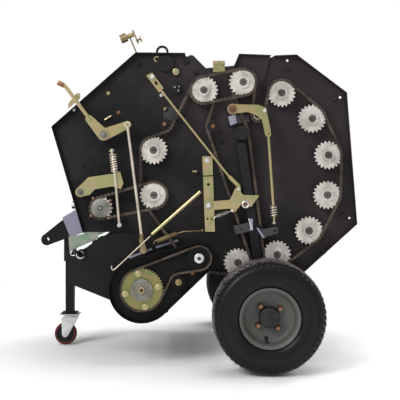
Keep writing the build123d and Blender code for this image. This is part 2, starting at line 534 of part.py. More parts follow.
# Chain tensioner: a bent strap, its pull rod and the coil spring round the rod
TENSION_Y = -430
TENSION_PIVOT = (-443, 698)
strap = prism([(-458, 710), (-411, 757), (-314, 771), (-284, 779), (-271, 734), (-281, 709), (-314, 721),
               (-384, 709), (-407, 686), (-438, 680)], TENSION_Y - 3, TENSION_Y + 3)
strap += rod_y(*TENSION_PIVOT, 20, TENSION_Y - 3, TENSION_Y + 3, sides=24)
strap += rod_y(*TENSION_PIVOT, 14, TENSION_Y, -HALF_WIDTH, sides=16)
save("tension_arm", strap)
PULL_Y = -441
pull = bar((-316, PULL_Y, 860), (-303, PULL_Y, 754), 5) + bar((-303, PULL_Y, 754), (-286, PULL_Y, 566), 5)
pull += bar((-312, PULL_Y, 845), (-305, PULL_Y, 783), 15)
pull += rod_y(-286, 566, 6, PULL_Y - 5, -HALF_WIDTH, sides=12)
save("tension_rod", pull)

# Gate lock: an L-shaped lever on the frame, its hanging rod and spring
LOCK_Y = -424
lock_outline = [(160, 1050), (269, 1048), (301, 1035), (320, 943), (316, 922), (298, 924), (285, 987),
                (261, 1007), (225, 1019), (197, 1015), (160, 1012)]
lock = prism(lock_outline, LOCK_Y - 3, LOCK_Y + 3) + rod_y(167, 1031, 21, LOCK_Y - 3, LOCK_Y + 3)
lock += rod_y(309, 930, 12, LOCK_Y - 3, LOCK_Y + 3)
lock -= rod_y(167, 1031, 9, LOCK_Y - 10, LOCK_Y + 10)
save("lock_lever", lock)
lock_stub = rod_y(167, 1031, 9, LOCK_Y - 10, -HALF_WIDTH) + rod_y(167, 1031, 12, -418, -HALF_WIDTH)
save("lever_stubs", lever_stub, lock_stub)
hanger = bar((309, -435, 930), (332, -435, 600), 6) + rod_y(309, 930, 9, -442, LOCK_Y - 3)
hanger += bar((329, -435, 646), (332, -435, 598), 15)
hanger += bar((332, -435, 598), (333.5, -435, 576), 10)
save("lock_rod", hanger)

# Holed upright bar and the pawl plate beside it
upright = prism([(46, 843), (87, 843), (98, 535), (58, 535)], -HALF_WIDTH - 8, -HALF_WIDTH)
# X, Z, radius of each hole
for x, z, radius in ((66, 826, 6), (71, 728, 6), (67, 587, 4.5), (84, 587, 4.5)):
    upright -= rod_y(x, z, radius, -HALF_WIDTH - 20, -HALF_WIDTH + 1, sides=12)
save("upright_bar", upright)
pawl = prism([(90, 661), (156, 666), (165, 684), (176, 709), (188, 722), (199, 720), (201, 697), (210, 686),
              (275, 684), (242, 638), (203, 650), (178, 618), (166, 616), (156, 631), (93, 626)], -418, -414)
pawl += rod_y(104, 645, 9, -414, -HALF_WIDTH, sides=12) + rod_y(219, 648, 16, -422, -418, sides=20)
pawl -= rod_y(172, 625, 4, -425, -410, sides=12)
save("pawl_plate", pawl)

# Trip rod across the side, its clevis at the top and pin at the foot
TRIP_Y = -404
trip = bar((-126, TRIP_Y, 1114), (156, TRIP_Y, 758), 5)
clevis = prism([(-181, 1168), (-157, 1180), (-110, 1116), (-129, 1099)], TRIP_Y - 3, TRIP_Y + 3)
clevis -= prism([(-149, 1141), (-141, 1147), (-133, 1133), (-141, 1127)], TRIP_Y - 9, TRIP_Y + 9)
trip += clevis + rod_y(-157, 1162, 6, TRIP_Y, -HALF_WIDTH, sides=12)
trip += prism([(149, 755), (159, 765), (200, 724), (190, 714)], TRIP_Y - 5, TRIP_Y + 5)
trip += rod_y(191, 709, 6, -414, -HALF_WIDTH, sides=12)
save("trip_rod", trip)

# Slanting brace tube and the return spring under it
BRACE_Y = -407
brace = bar((-157, BRACE_Y, 527), (38, BRACE_Y, 699), 8)
brace += rod_y(30, 692, 6, BRACE_Y, -HALF_WIDTH, sides=12) + rod_y(-139, 543, 6, BRACE_Y, -HALF_WIDTH, sides=12)
save("brace_tube", brace)
return_spring = bar((-142, BRACE_Y, 497), (-57, BRACE_Y, 530), 10) + bar((-60, BRACE_Y, 529), (52, BRACE_Y, 543), 4)
return_spring += rod_y(46, 543, 5, BRACE_Y - 3, -HALF_WIDTH, sides=12)
save("return_spring", return_spring)

# Small pieces along the top edge: lifting ring, twine brake, counter bracket and disc
TOP_Y = -374
RING_AT = (-117, 1268)
ring = rod_y(*RING_AT, 26, TOP_Y - 4.5, TOP_Y + 4.5, sides=28) - rod_y(*RING_AT, 17, -400, -300, sides=28)
ring -= Pos(RING_AT[0], TOP_Y, 1240.5) * Box(80, 20, 50)


def brake_disc(x, z, radius, thick):
    """A round piece of the twine brake, square to its slanted spindle."""
    return Pos(x, TOP_Y, z) * Rot(0, BRAKE_LEAN, 0) * Rot(0, 90, 0) * extrude(RegularPolygon(radius, 16), thick / 2,
                                                                          both=True)


BRAKE_LEAN = -24            # degrees, the spindle rising rearwards
twine = bar((-223, TOP_Y, 1266), (-248, TOP_Y, 1326), 3)
# X, Z of the middle, radius, thickness
for x, z, radius, thick in ((-274, 1324, 18, 28), (-248, 1334, 9, 30), (-226, 1330, 30, 6), (-205, 1321, 13, 5),
                            (-213, 1318, 4, 24)):
    twine += brake_disc(x, z, radius, thick)
save("twine_brake", twine)
top_bracket = prism([(90, 1187), (90, 1233), (139, 1233), (139, 1187)], -HALF_WIDTH - 6, -HALF_WIDTH)
save("top_bracket", top_bracket)
disc = rod_y(-105, 1223, 35, -HALF_WIDTH - 12, -HALF_WIDTH, sides=32)
arm_plate = flat([(-105, 1223), (-61, 1188)], [35, 16], -HALF_WIDTH - 6, -HALF_WIDTH)
arm_plate += rod_y(-61, 1188, 8, -HALF_WIDTH - 14, -HALF_WIDTH, sides=12)
save("top_fittings", ring, disc + arm_plate)

# Strap clamps over the axle legs
clamp = prism([(150, 969), (150, 1012), (234, 1012), (234, 969)], -HEAD_FACE - 4, -HEAD_FACE)
clamp += prism([(150, 969), (150, 1012), (166, 1012), (166, 969)], -HEAD_FACE, -HALF_WIDTH)
mid = prism([(171, 563), (234, 577), (262, 572), (350, 561), (360, 520), (272, 530), (243, 541), (183, 529)],
            -416, -412)
mid += prism([(174, 559), (188, 562), (198, 533), (184, 530)], -412, -HALF_WIDTH)
mid -= rod_y(338, 541, 6, -420, -408, sides=12) + rod_y(204, 549, 4, -420, -408, sides=12)
save("leg_clamps", clamp, mid)
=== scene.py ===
"""Looks of the towed round baler: finishes, chains, springs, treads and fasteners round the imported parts.

Lengths in the classes are millimetres in the machine's own frame: +X rearwards, +Y to its right side, +Z up.
"""
from __future__ import annotations

import logging
import math
from dataclasses import dataclass, field
from enum import Enum
from typing import Iterable, Sequence

import bmesh
import bpy
from mathutils import Matrix, Vector


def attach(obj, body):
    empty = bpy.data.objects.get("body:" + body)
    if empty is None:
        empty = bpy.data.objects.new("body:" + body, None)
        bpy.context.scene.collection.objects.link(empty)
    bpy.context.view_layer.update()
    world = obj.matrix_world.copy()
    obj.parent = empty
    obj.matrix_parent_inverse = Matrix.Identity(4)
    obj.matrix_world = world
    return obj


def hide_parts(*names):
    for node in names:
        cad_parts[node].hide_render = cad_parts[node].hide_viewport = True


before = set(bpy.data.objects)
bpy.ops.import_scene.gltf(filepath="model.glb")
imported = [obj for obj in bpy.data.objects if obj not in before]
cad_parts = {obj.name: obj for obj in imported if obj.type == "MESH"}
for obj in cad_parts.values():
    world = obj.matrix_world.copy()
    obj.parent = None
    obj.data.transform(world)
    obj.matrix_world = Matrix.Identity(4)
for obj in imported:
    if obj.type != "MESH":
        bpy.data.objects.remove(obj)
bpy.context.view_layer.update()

LOG = logging.getLogger("round_baler")
MM = 0.001
Point = tuple[float, float, float]
Flat = tuple[float, float]
Colour = tuple[float, float, float]
OUTWARDS: Point = (0, -1, 0)     # away from the machine's left side
WHITE = (1, 1, 1, 1)
COIL_STEPS = 18                  # steps of one turn of a spring
ARC_STEP = 1.5                   # longest step of a chain round a wheel
FULL_TURN = 2 * math.pi


class Side(Enum):
    """Which side of the machine a piece is on."""

    LEFT = -1
    RIGHT = 1


class Wire:
    """An output socket that takes part in Python expressions."""

    def __init__(self, graph: "Graph", socket: bpy.types.NodeSocket) -> None:
        """Wraps one output socket.

        Args:
            graph: The tree that new Math nodes go into.
            socket: The output socket.
        """
        self.graph = graph
        self.socket = socket

    def _math(self, operation: str, first: "Wire | float", second: "Wire | float") -> "Wire":
        """Adds one Math node.

        Args:
            operation: The node's operation.
            first: Its first value.
            second: Its second value.

        Returns:
            The node's result.
        """
        return self.graph.wire("ShaderNodeMath", {"operation": operation}, {0: first, 1: second})

    def __add__(self, other: "Wire | float") -> "Wire":
        """Sum."""
        return self._math("ADD", self, other)

    def __radd__(self, other: float) -> "Wire":
        """Reflected sum."""
        return self._math("ADD", other, self)

    def __rsub__(self, other: float) -> "Wire":
        """Reflected difference."""
        return self._math("SUBTRACT", other, self)

    def __mul__(self, other: "Wire | float") -> "Wire":
        """Product."""
        return self._math("MULTIPLY", self, other)

    def __pow__(self, other: float) -> "Wire":
        """Power."""
        return self._math("POWER", self, other)

    def ramp(self, low: float, high: float) -> "Wire":
        """A smooth step from nought at low to one at high.

        Args:
            low: Value that gives nought.
            high: Value that gives one.

        Returns:
            The stepped value.
        """
        settings = {"interpolation_type": "SMOOTHSTEP"}
        return self.graph.wire("ShaderNodeMapRange", settings, {"Value": self, "From Min": low, "From Max": high})


class Graph:
    """A node tree under construction, with its nodes added through one method."""

    def __init__(self, tree: bpy.types.NodeTree) -> None:
        """Empties a tree.

        Args:
            tree: The tree.
        """
        self.tree = tree
        self.tree.nodes.clear()

    def node(self, kind: str, settings: dict | None = None, inputs: dict | None = None) -> bpy.types.Node:
        """Adds one node.

        Args:
            kind: The node's type.
            settings: Attributes set before the inputs.
            inputs: Values or wires by socket name or number.

        Returns:
            The node.
        """
        node = self.tree.nodes.new(kind)
        for key, value in (settings or {}).items():
            setattr(node, key, value)
        for key, value in (inputs or {}).items():
            self.put(node.inputs[key], value)
        return node

    def wire(self, kind: str, settings: dict | None = None, inputs: dict | None = None,
             output: int | str = 0) -> Wire:
        """Adds one node for the sake of one output.

        Args:
            kind: The node's type.
            settings: Attributes set before the inputs.
            inputs: Values or wires by socket name or number.
            output: The output's name or number.

        Returns:
            The output.
        """
        return Wire(self, self.node(kind, settings, inputs).outputs[output])

    def put(self, socket: bpy.types.NodeSocket, value: Wire | float | tuple) -> None:
        """Links a wire to an input, or sets the input's value.

        Args:
            socket: The input.
            value: What it gets.
        """
        if isinstance(value, Wire):
            self.tree.links.new(value.socket, socket)
        else:
            socket.default_value = value


class Shader(Graph):
    """A material under construction."""

    def __init__(self, name: str) -> None:
        """Starts a material with a Principled shader.

        Args:
            name: The material's name.
        """
        self.material = bpy.data.materials.new(name)
        self.material.use_nodes = True
        super().__init__(self.material.node_tree)
        self.surface = self.node("ShaderNodeBsdfPrincipled")
        self.output = self.node("ShaderNodeOutputMaterial")
        self.show(Wire(self, self.surface.outputs[0]))

    def show(self, shading: Wire) -> None:
        """Makes one shader the material's surface.

        Args:
            shading: The shader's output.
        """
        self.put(self.output.inputs["Surface"], shading)

    def place(self, scale: Point = (1, 1, 1), shift: Point = (0, 0, 0)) -> Wire:
        """Object coordinates through a Mapping node.

        Args:
            scale: Scale along each axis.
            shift: Offset in metres.

        Returns:
            The mapped coordinates.
        """
        source = self.wire("ShaderNodeTexCoord", output="Object")
        return self.wire("ShaderNodeMapping", None, {"Vector": source, "Scale": scale, "Location": shift})

    def noise(self, scale: float, detail: float = 4, rough: float = 0.55, where: Wire | None = None) -> Wire:
        """A noise value.

        Args:
            scale: Noise scale, per metre.
            detail: Octaves.
            rough: How much the octaves keep.
            where: Coordinates, or the object's own.

        Returns:
            The value, about 0.3 to 0.7.
        """
        inputs = {"Vector": where or self.place(), "Scale": scale, "Detail": detail, "Roughness": rough}
        return self.wire("ShaderNodeTexNoise", None, inputs)

    def split(self, vector: Wire) -> tuple[Wire, Wire, Wire]:
        """The three numbers of a vector.

        Args:
            vector: The vector.

        Returns:
            Its X, Y and Z.
        """
        x, y, z = self.node("ShaderNodeSeparateXYZ", None, {0: vector}).outputs
        return Wire(self, x), Wire(self, y), Wire(self, z)

    def blend(self, factor: Wire, first: Wire | Colour, second: Wire | Colour) -> Wire:
        """Mixes two colours.

        Args:
            factor: Nought gives the first, one the second.
            first: Colour or wire.
            second: Colour or wire.

        Returns:
            The mixed colour.
        """
        low, high = (colour if isinstance(colour, Wire) else (*colour, 1) for colour in (first, second))
        return self.wire("ShaderNodeMix", {"data_type": "RGBA"}, {0: factor, 6: low, 7: high}, output=2)

    def bump(self, height: Wire, strength: float, depth: float) -> None:
        """Feeds a height through a Bump node into the surface's Normal.

        Args:
            height: The height value.
            strength: How strong it shows.
            depth: Depth of a full step, in metres.
        """
        inputs = {"Height": height, "Strength": strength, "Distance": depth}
        self.feed(Normal=self.wire("ShaderNodeBump", None, inputs))

    def feed(self, **values: Wire | float | Colour) -> None:
        """Sets or links inputs of the surface, named with underscores for spaces.

        Args:
            values: Input names and what each one gets.
        """
        for key, value in values.items():
            self.put(self.surface.inputs[key.replace("_", " ")], (*value, 1) if isinstance(value, tuple) else value)


@dataclass(frozen=True)
class Paint:
    """Satin paint over steel, with dust in patches and a slight orange-peel surface."""

    name: str
    colour: Colour
    # lighter colour that the random mottle and the painted sheen of the upper rear lead to
    mottle_and_sheen: Colour
    dust: Colour = (0.19, 0.17, 0.15)
    dust_share: float = 0.22
    gloss: float = 0.42
    coat: float = 0.06
    shine: float = 0.36

    def build(self) -> bpy.types.Material:
        """Builds the material, lighter and warmer towards the machine's upper rear, a painted sheen, with random
        mottle.

        Returns:
            The material.
        """
        shader = Shader(self.name)
        cloud = shader.noise(3.2, 5, 0.6)
        speck = shader.noise(160, 3, 0.6)
        rub = shader.noise(26, 6, 0.7, shader.place(scale=(1, 1, 0.25)))
        x, _, z = shader.split(shader.place())
        # painted sheen: the colour lightens towards the upper rear, where the lamps' sheen falls
        painted_sheen = (x + z * 0.8 + cloud * 0.5).ramp(0.6, 1.5)
        tint = shader.blend(cloud.ramp(0.42, 0.7) * 0.4 + painted_sheen * 0.6, self.colour, self.mottle_and_sheen)
        dusty = (rub * 0.6 + speck * 0.4).ramp(0.5, 0.78) * self.dust_share
        shader.feed(Base_Color=shader.blend(dusty, tint, self.dust),
                    Roughness=self.gloss + rub * 0.16 + dusty * 0.6,
                    Coat_Weight=self.coat, Coat_Roughness=0.22, Specular_IOR_Level=self.shine)
        shader.bump(shader.noise(420, 2, 0.5) + speck * 0.5, 0.08, 0.0006)
        return shader.material


@dataclass(frozen=True)
class Steel:
    """Bare or plated steel with brushed streaks, stains and a rougher film of handling dirt."""

    name: str
    bright: Colour
    dull: Colour
    gloss: float = 0.3
    metal: float = 0.92
    streak: Point = (1, 1, 1)
    stain: Colour = (0.1, 0.085, 0.07)
    stain_share: float = 0.3

    def build(self) -> bpy.types.Material:
        """Builds the material.

        Returns:
            The material.
        """
        shader = Shader(self.name)
        brushed = shader.noise(90, 6, 0.72, shader.place(scale=self.streak))
        patch = shader.noise(19, 4, 0.6)
        grime = shader.noise(55, 6, 0.75).ramp(0.55, 0.78) * self.stain_share
        base = shader.blend(patch.ramp(0.38, 0.64), self.bright, self.dull)
        shader.feed(Base_Color=shader.blend(grime, base, self.stain), Metallic=self.metal - grime * 0.7,
                    Roughness=self.gloss + brushed * 0.16 + grime * 0.5)
        shader.bump(brushed, 0.12, 0.0005)
        return shader.material


@dataclass(frozen=True)
class Passivated:
    """Yellow-passivated zinc whose tint drifts between gold, green and pink."""

    name: str
    gold: Colour = (0.62, 0.5, 0.28)
    green: Colour = (0.47, 0.5, 0.27)
    pink: Colour = (0.66, 0.45, 0.38)
    gloss: float = 0.26

    def build(self) -> bpy.types.Material:
        """Builds the material.

        Returns:
            The material.
        """
        shader = Shader(self.name)
        drift = shader.noise(17, 3, 0.55)
        second = shader.noise(31, 3, 0.55, shader.place(shift=(0.31, 0.17, 0.53)))
        cool = shader.blend(drift.ramp(0.44, 0.6), self.gold, self.green)
        tint = shader.blend(second.ramp(0.55, 0.68), cool, self.pink)
        worn = shader.noise(120, 5, 0.7).ramp(0.58, 0.72)
        shader.feed(Base_Color=shader.blend(worn * 0.35, tint, (0.42, 0.4, 0.34)), Metallic=0.88,
                    Roughness=self.gloss + worn * 0.2 + drift * 0.1)
        shader.bump(shader.noise(300, 3, 0.6), 0.06, 0.0004)
        return shader.material


@dataclass(frozen=True)
class Rubber:
    """Tyre rubber, faintly grained, with a tread whose blocks' tops can be lighter than its sides: dust and a painted
    highlight.
    """

    name: str
    colour: Colour
    dust: Colour
    dust_share: float = 0.35
    gloss: float = 0.62
    crown: Colour | None = None

    def build(self) -> bpy.types.Material:
        """Builds the material.

        Returns:
            The material.
        """
        shader = Shader(self.name)
        patch = shader.noise(14, 5, 0.65)
        grain = shader.noise(260, 3, 0.6)
        dusty = (patch * 0.7 + grain * 0.3).ramp(0.46, 0.66) * self.dust_share
        colour = shader.blend(dusty, self.colour, self.dust)
        # the blocks' tops turn lighter: dust and a painted highlight of the lamps on the lug tops
        if self.crown:
            x, _, z = shader.split(shader.place(shift=(-0.3, 0, -0.22)))
            tread = ((x * x + z * z) ** 0.5).ramp(0.209, 0.215)
            colour = shader.blend(tread * patch.ramp(0.3, 0.6), colour, self.crown)
            grain = grain * (tread * 0.7 + 0.3)
        shader.feed(Base_Color=colour, Roughness=self.gloss + grain * 0.2, Specular_IOR_Level=0.2)
        shader.bump(grain, 0.15, 0.0006)
        return shader.material


@dataclass(frozen=True)
class Moulded:
    """Moulded plastic with a fine texture and a soft sheen."""

    name: str
    colour: Colour
    gloss: float = 0.4

    def build(self) -> bpy.types.Material:
        """Builds the material.

        Returns:
            The material.
        """
        shader = Shader(self.name)
        grain = shader.noise(700, 2, 0.5)
        patch = shader.noise(30, 3, 0.5)
        lighter = tuple(min(1.0, part * 1.9 + 0.012) for part in self.colour)
        shader.feed(Base_Color=shader.blend(patch.ramp(0.4, 0.7) * 0.6, self.colour, lighter),
                    Roughness=self.gloss + patch * 0.15, Specular_IOR_Level=0.3)
        shader.bump(grain, 0.1, 0.0003)
        return shader.material


class Finish(Enum):
    """The machine's finishes."""

    # Each paint's second colour is the lighter tone of its random mottle and of its painted sheen towards the upper
    # rear; the side sheets' is a strong painted sheen.
    SHEET = Paint("sheet_paint_black", (0.0055, 0.0057, 0.0065), (0.04, 0.031, 0.034), dust_share=0.04, coat=0.02,
                  shine=0.14)
    FRAME = Paint("frame_paint_black", (0.006, 0.006, 0.007), (0.02, 0.017, 0.019), dust_share=0.06, coat=0.02,
                  shine=0.16)
    GUARD = Paint("guard_paint_black", (0.005, 0.0052, 0.005), (0.008, 0.008, 0.0085), dust_share=0.03, coat=0.02,
                  shine=0.12)
    ROLLER = Paint("roller_paint_worn", (0.018, 0.018, 0.02), (0.04, 0.036, 0.032), dust_share=0.3, gloss=0.4)
    CASTING = Paint("casting_paint_grey", (0.026, 0.028, 0.028), (0.045, 0.042, 0.04), dust_share=0.16, gloss=0.45)
    RIM = Paint("rim_paint_grey_green", (0.09, 0.092, 0.084), (0.105, 0.107, 0.097), dust_share=0.15, gloss=0.45)
    CLAMP = Paint("clamp_paint_grey", (0.035, 0.039, 0.042), (0.05, 0.052, 0.055), dust_share=0.12, gloss=0.4)
    # pale lilac: on the drawbar's cheeks it is a painted reflection, on the guard's top strips a painted highlight
    LILAC = Paint("pale_lilac_paint_and_highlight", (0.25, 0.25, 0.33), (0.29, 0.285, 0.36), (0.38, 0.38, 0.42), 0.3, 0.35)
    SPROCKET = Steel("sprocket_steel", (0.68, 0.64, 0.59), (0.45, 0.42, 0.38), gloss=0.36, metal=0.62, stain_share=0.3)
    BRIGHT = Steel("shaft_steel", (0.66, 0.65, 0.63), (0.45, 0.44, 0.43), gloss=0.2, streak=(1, 6, 1))
    DARK_STEEL = Steel("shaft_steel_oiled", (0.16, 0.155, 0.145), (0.08, 0.078, 0.074), gloss=0.25, metal=0.8)
    CHAIN = Steel("chain_steel", (0.115, 0.09, 0.072), (0.05, 0.038, 0.032), gloss=0.36, metal=0.8,
                  stain=(0.04, 0.033, 0.028), stain_share=0.45)
    SPRING = Steel("spring_wire", (0.6, 0.57, 0.52), (0.38, 0.35, 0.31), gloss=0.28, metal=0.9)
    ZINC = Steel("zinc_plate", (0.78, 0.78, 0.77), (0.58, 0.58, 0.58), gloss=0.3, metal=0.75, stain_share=0.2)
    CREAM = Steel("zinc_plate_warm", (0.76, 0.68, 0.56), (0.55, 0.48, 0.4), gloss=0.28, metal=0.8, stain_share=0.2)
    BRASS = Steel("brass_plate_dull", (0.33, 0.25, 0.12), (0.17, 0.12, 0.065), gloss=0.32, metal=0.8)
    COPPER = Steel("copper_plate", (0.3, 0.16, 0.09), (0.2, 0.11, 0.07), gloss=0.3)
    HUB = Steel("hub_steel_grey", (0.24, 0.24, 0.21), (0.14, 0.14, 0.12), gloss=0.45, metal=0.6, stain_share=0.4)
    GOLD = Passivated("passivated_zinc", (0.5, 0.41, 0.21), (0.39, 0.38, 0.18), (0.52, 0.37, 0.26))
    OLIVE = Passivated("passivated_zinc_green", (0.25, 0.23, 0.085), (0.18, 0.22, 0.085), (0.29, 0.21, 0.12), 0.32)
    PALE = Passivated("passivated_zinc_pale", (0.3, 0.33, 0.27), (0.22, 0.31, 0.23), (0.37, 0.35, 0.32), 0.36)
    # the tyre's third colour is the lighter crown of its blocks: dust and a painted highlight
    TYRE = Rubber("tyre_rubber", (0.006, 0.006, 0.0066), (0.02, 0.019, 0.019), 0.15, 0.36, (0.16, 0.138, 0.142))
    CASTOR = Rubber("castor_rubber_red", (0.12, 0.014, 0.012), (0.09, 0.05, 0.042), 0.3, 0.5)
    CAP = Moulded("cap_plastic_black", (0.009, 0.009, 0.01))


class Store:
    """Builds each finish once and hands it out."""

    def __init__(self) -> None:
        """Starts empty."""
        self.built: dict[str, bpy.types.Material] = {}

    def get(self, finish: Finish) -> bpy.types.Material:
        """The material of a finish.

        Args:
            finish: Which finish.

        Returns:
            Its material.
        """
        if finish.name not in self.built:
            self.built[finish.name] = finish.value.build()
        return self.built[finish.name]


STORE = Store()


class Bench:
    """A piece being made in bmesh, in millimetres, and handed over as a finished object in metres."""

    def __init__(self, name: str) -> None:
        """Starts an empty piece.

        Args:
            name: The finished object's name.
        """
        self.name = name
        self.mesh = bmesh.new()

    def rod(self, start: Point, end: Point, radius: float, sides: int = 20, end_radius: float | None = None,
            soft: float = 0.0) -> list[bmesh.types.BMVert]:
        """A round or many-sided bar between two points.

        Args:
            start: Centre of its first end.
            end: Centre of its second end.
            radius: Radius of the first end.
            sides: Number of sides.
            end_radius: Radius of the second end, or the same.
            soft: Width of the bevel round both ends.

        Returns:
            The bar's vertices.
        """
        line = Vector(end) - Vector(start)
        turn = line.to_track_quat("Z", "Y").to_matrix().to_4x4()
        matrix = Matrix.Translation((Vector(start) + Vector(end)) / 2) @ turn
        made = bmesh.ops.create_cone(self.mesh, cap_ends=True, segments=sides, radius1=radius,
                                     radius2=radius if end_radius is None else end_radius, depth=line.length,
                                     matrix=matrix)
        verts = made["verts"]
        if soft:
            caps = {edge for vert in verts for edge in vert.link_edges
                    if any(len(face.verts) == sides for face in edge.link_faces)}
            bevelled = bmesh.ops.bevel(self.mesh, geom=list(caps), offset=soft, segments=2, profile=0.5,
                                       affect="EDGES", material=-1)
            verts = list({vert for face in bevelled["faces"] for vert in face.verts})
        return verts

    def block(self, centre: Point, size: Point, soft: float = 0.0, turn: Matrix | None = None) -> None:
        """A box, with bevelled edges if asked.

        Args:
            centre: Its middle.
            size: Its full sizes.
            soft: Width of the bevel.
            turn: A rotation about its middle.
        """
        scale = Matrix.Diagonal((*size, 1))
        matrix = Matrix.Translation(centre) @ (turn or Matrix.Identity(4)) @ scale
        verts = bmesh.ops.create_cube(self.mesh, size=1, matrix=matrix)["verts"]
        if soft:
            edges = {edge for vert in verts for edge in vert.link_edges}
            bmesh.ops.bevel(self.mesh, geom=list(edges), offset=soft, segments=2, profile=0.5, affect="EDGES",
                            material=-1)

    def pin(self, place: Flat, start: float, end: float, radius: float, sides: int = 20,
            end_radius: float | None = None, soft: float = 0.0) -> None:
        """A round bar across the machine.

        Args:
            place: Its X and Z.
            start: Y of its first end.
            end: Y of its second end.
            radius: Radius of the first end.
            sides: Number of sides.
            end_radius: Radius of the second end, or the same.
            soft: Width of the bevel round both ends.
        """
        x, z = place
        self.rod((x, start, z), (x, end, z), radius, sides, end_radius, soft)

    def lathe(self, profile: Sequence[Flat], centre: Point, steps: int) -> None:
        """A shape turned about an axis across the machine from a closed outline.

        Args:
            profile: Corners as (distance along +Y, radius).
            centre: A point on the axis, where distance is nought.
            steps: Steps of a full turn.
        """
        along = Vector((0, 1, 0))
        out = along.orthogonal().normalized()
        verts = [self.mesh.verts.new(Vector(centre) + along * step + out * radius) for step, radius in profile]
        face = self.mesh.faces.new(verts)
        edges = list(face.edges)
        bmesh.ops.delete(self.mesh, geom=[face], context="FACES_ONLY")
        bmesh.ops.spin(self.mesh, geom=verts + edges, cent=centre, axis=along, angle=FULL_TURN, steps=steps,
                       use_merge=True)

    def plate(self, outline: Sequence[Flat], face: float, thick: float, soft: float = 0.0) -> None:
        """A flat plate lying along the machine's side.

        Args:
            outline: Its corners as (X, Z).
            face: Y of its one face.
            thick: Distance to its other face, along +Y.
            soft: Width of the bevel.
        """
        near = [self.mesh.verts.new((x, face, z)) for x, z in outline]
        made = bmesh.ops.extrude_face_region(self.mesh, geom=[self.mesh.faces.new(near)])["geom"]
        far = [item for item in made if isinstance(item, bmesh.types.BMVert)]
        bmesh.ops.translate(self.mesh, vec=(0, thick, 0), verts=far)
        if soft:
            edges = {edge for vert in near + far for edge in vert.link_edges}
            bmesh.ops.bevel(self.mesh, geom=list(edges), offset=soft, segments=1, profile=0.5, affect="EDGES",
                            material=-1)

    def coil(self, start: Point, end: Point, radius: float, wire: float, turns: float, sides: int = 8) -> None:
        """A coil spring between two points.

        Args:
            start: One end of its axis.
            end: The other end.
            radius: Radius of the wire's middle line.
            wire: The wire's radius.
            turns: Number of turns.
            sides: Sides of the wire's section.
        """
        line = Vector(end) - Vector(start)
        along = line.normalized()
        out = along.orthogonal().normalized()
        steps = int(turns * COIL_STEPS)
        facing = along.cross(out).to_track_quat("Z", "Y").to_matrix().to_4x4()
        circle = bmesh.ops.create_circle(self.mesh, cap_ends=True, radius=wire, segments=sides,
                                         matrix=Matrix.Translation(Vector(start) + out * radius) @ facing)
        geom = list(circle["verts"])
        geom += list({edge for vert in circle["verts"] for edge in vert.link_edges})
        geom += list({face for vert in circle["verts"] for face in vert.link_faces})
        bmesh.ops.spin(self.mesh, geom=geom, cent=start, axis=along, dvec=line / steps, angle=turns * FULL_TURN,
                       steps=steps, use_merge=False)

    def wire(self, points: Sequence[Point], radius: float, sides: int = 10) -> None:
        """A bent wire through points, with a ball at each bend.

        Args:
            points: Its corners.
            radius: Its radius.
            sides: Sides of its section.
        """
        for start, end in zip(points, points[1:]):
            self.rod(start, end, radius, sides)
        for point in points[1:-1]:
            bmesh.ops.create_icosphere(self.mesh, subdivisions=2, radius=radius, matrix=Matrix.Translation(point))

    def bolt(self, at: Point, across: float = 13, head: float = 5.5, washer: float = 1.5, stud: float = 0.0,
             axis: Point = OUTWARDS) -> None:
        """A hexagon head or nut on a washer.

        Args:
            at: Where its axis meets the surface.
            across: Size across the flats.
            head: The head's height.
            washer: The washer's thickness, or nought for none.
            stud: How far a threaded end stands out of the head.
            axis: The way it stands out.
        """
        out = Vector(axis).normalized()
        base = Vector(at)
        if washer:
            self.rod(base, base + out * washer, across * 0.85, 20)
        hexagon = across / math.sqrt(3)
        low = base + out * washer
        self.rod(low, low + out * head * 0.82, hexagon, 6)
        self.rod(low + out * head * 0.82, low + out * head, hexagon, 6, end_radius=hexagon * 0.84)
        if stud:
            self.rod(low + out * head, low + out * (head + stud), across * 0.3, 12)

    def stamp(self, template: Iterable[bmesh.types.BMVert], matrices: Iterable[Matrix]) -> None:
        """Copies part of the mesh to many places, and removes the pattern it was copied from.

        Args:
            template: The pattern's vertices.
            matrices: Where each copy goes.
        """
        pattern = list(template)
        geom = pattern + list({edge for vert in pattern for edge in vert.link_edges})
        geom += list({face for vert in pattern for face in vert.link_faces})
        for matrix in matrices:
            copy = bmesh.ops.duplicate(self.mesh, geom=geom)["geom"]
            bmesh.ops.transform(self.mesh, matrix=matrix,
                                verts=[item for item in copy if isinstance(item, bmesh.types.BMVert)])
        bmesh.ops.delete(self.mesh, geom=pattern, context="VERTS")

    def finish(self, finish: Finish, body: str, slot: str, replaces: Sequence[str] = (),
               smooth_angle: float = 35.0) -> bpy.types.Object:
        """Makes the object, in metres, dressed and riding on its body.

        Args:
            finish: Its finish.
            body: The CAD body it rides on.
            slot: The record's material slot; not used.
            replaces: CAD nodes that it stands for.
            smooth_angle: Edges sharper than this stay sharp, in degrees.

        Returns:
            The object.
        """
        bmesh.ops.recalc_face_normals(self.mesh, faces=self.mesh.faces)
        bmesh.ops.scale(self.mesh, vec=(MM, MM, MM), verts=self.mesh.verts)
        for face in self.mesh.faces:
            face.smooth = True
        for edge in self.mesh.edges:
            edge.smooth = not edge.is_manifold or edge.calc_face_angle(0) < math.radians(smooth_angle)
        data = bpy.data.meshes.new(self.name)
        self.mesh.to_mesh(data)
        self.mesh.free()
        data.materials.append(STORE.get(finish))
        piece = bpy.data.objects.new(self.name, data)
        bpy.context.scene.collection.objects.link(piece)
        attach(piece, body)
        if replaces:
            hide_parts(*replaces)
        LOG.info("%s: %d faces on %s", self.name, len(data.polygons), body)
        return piece


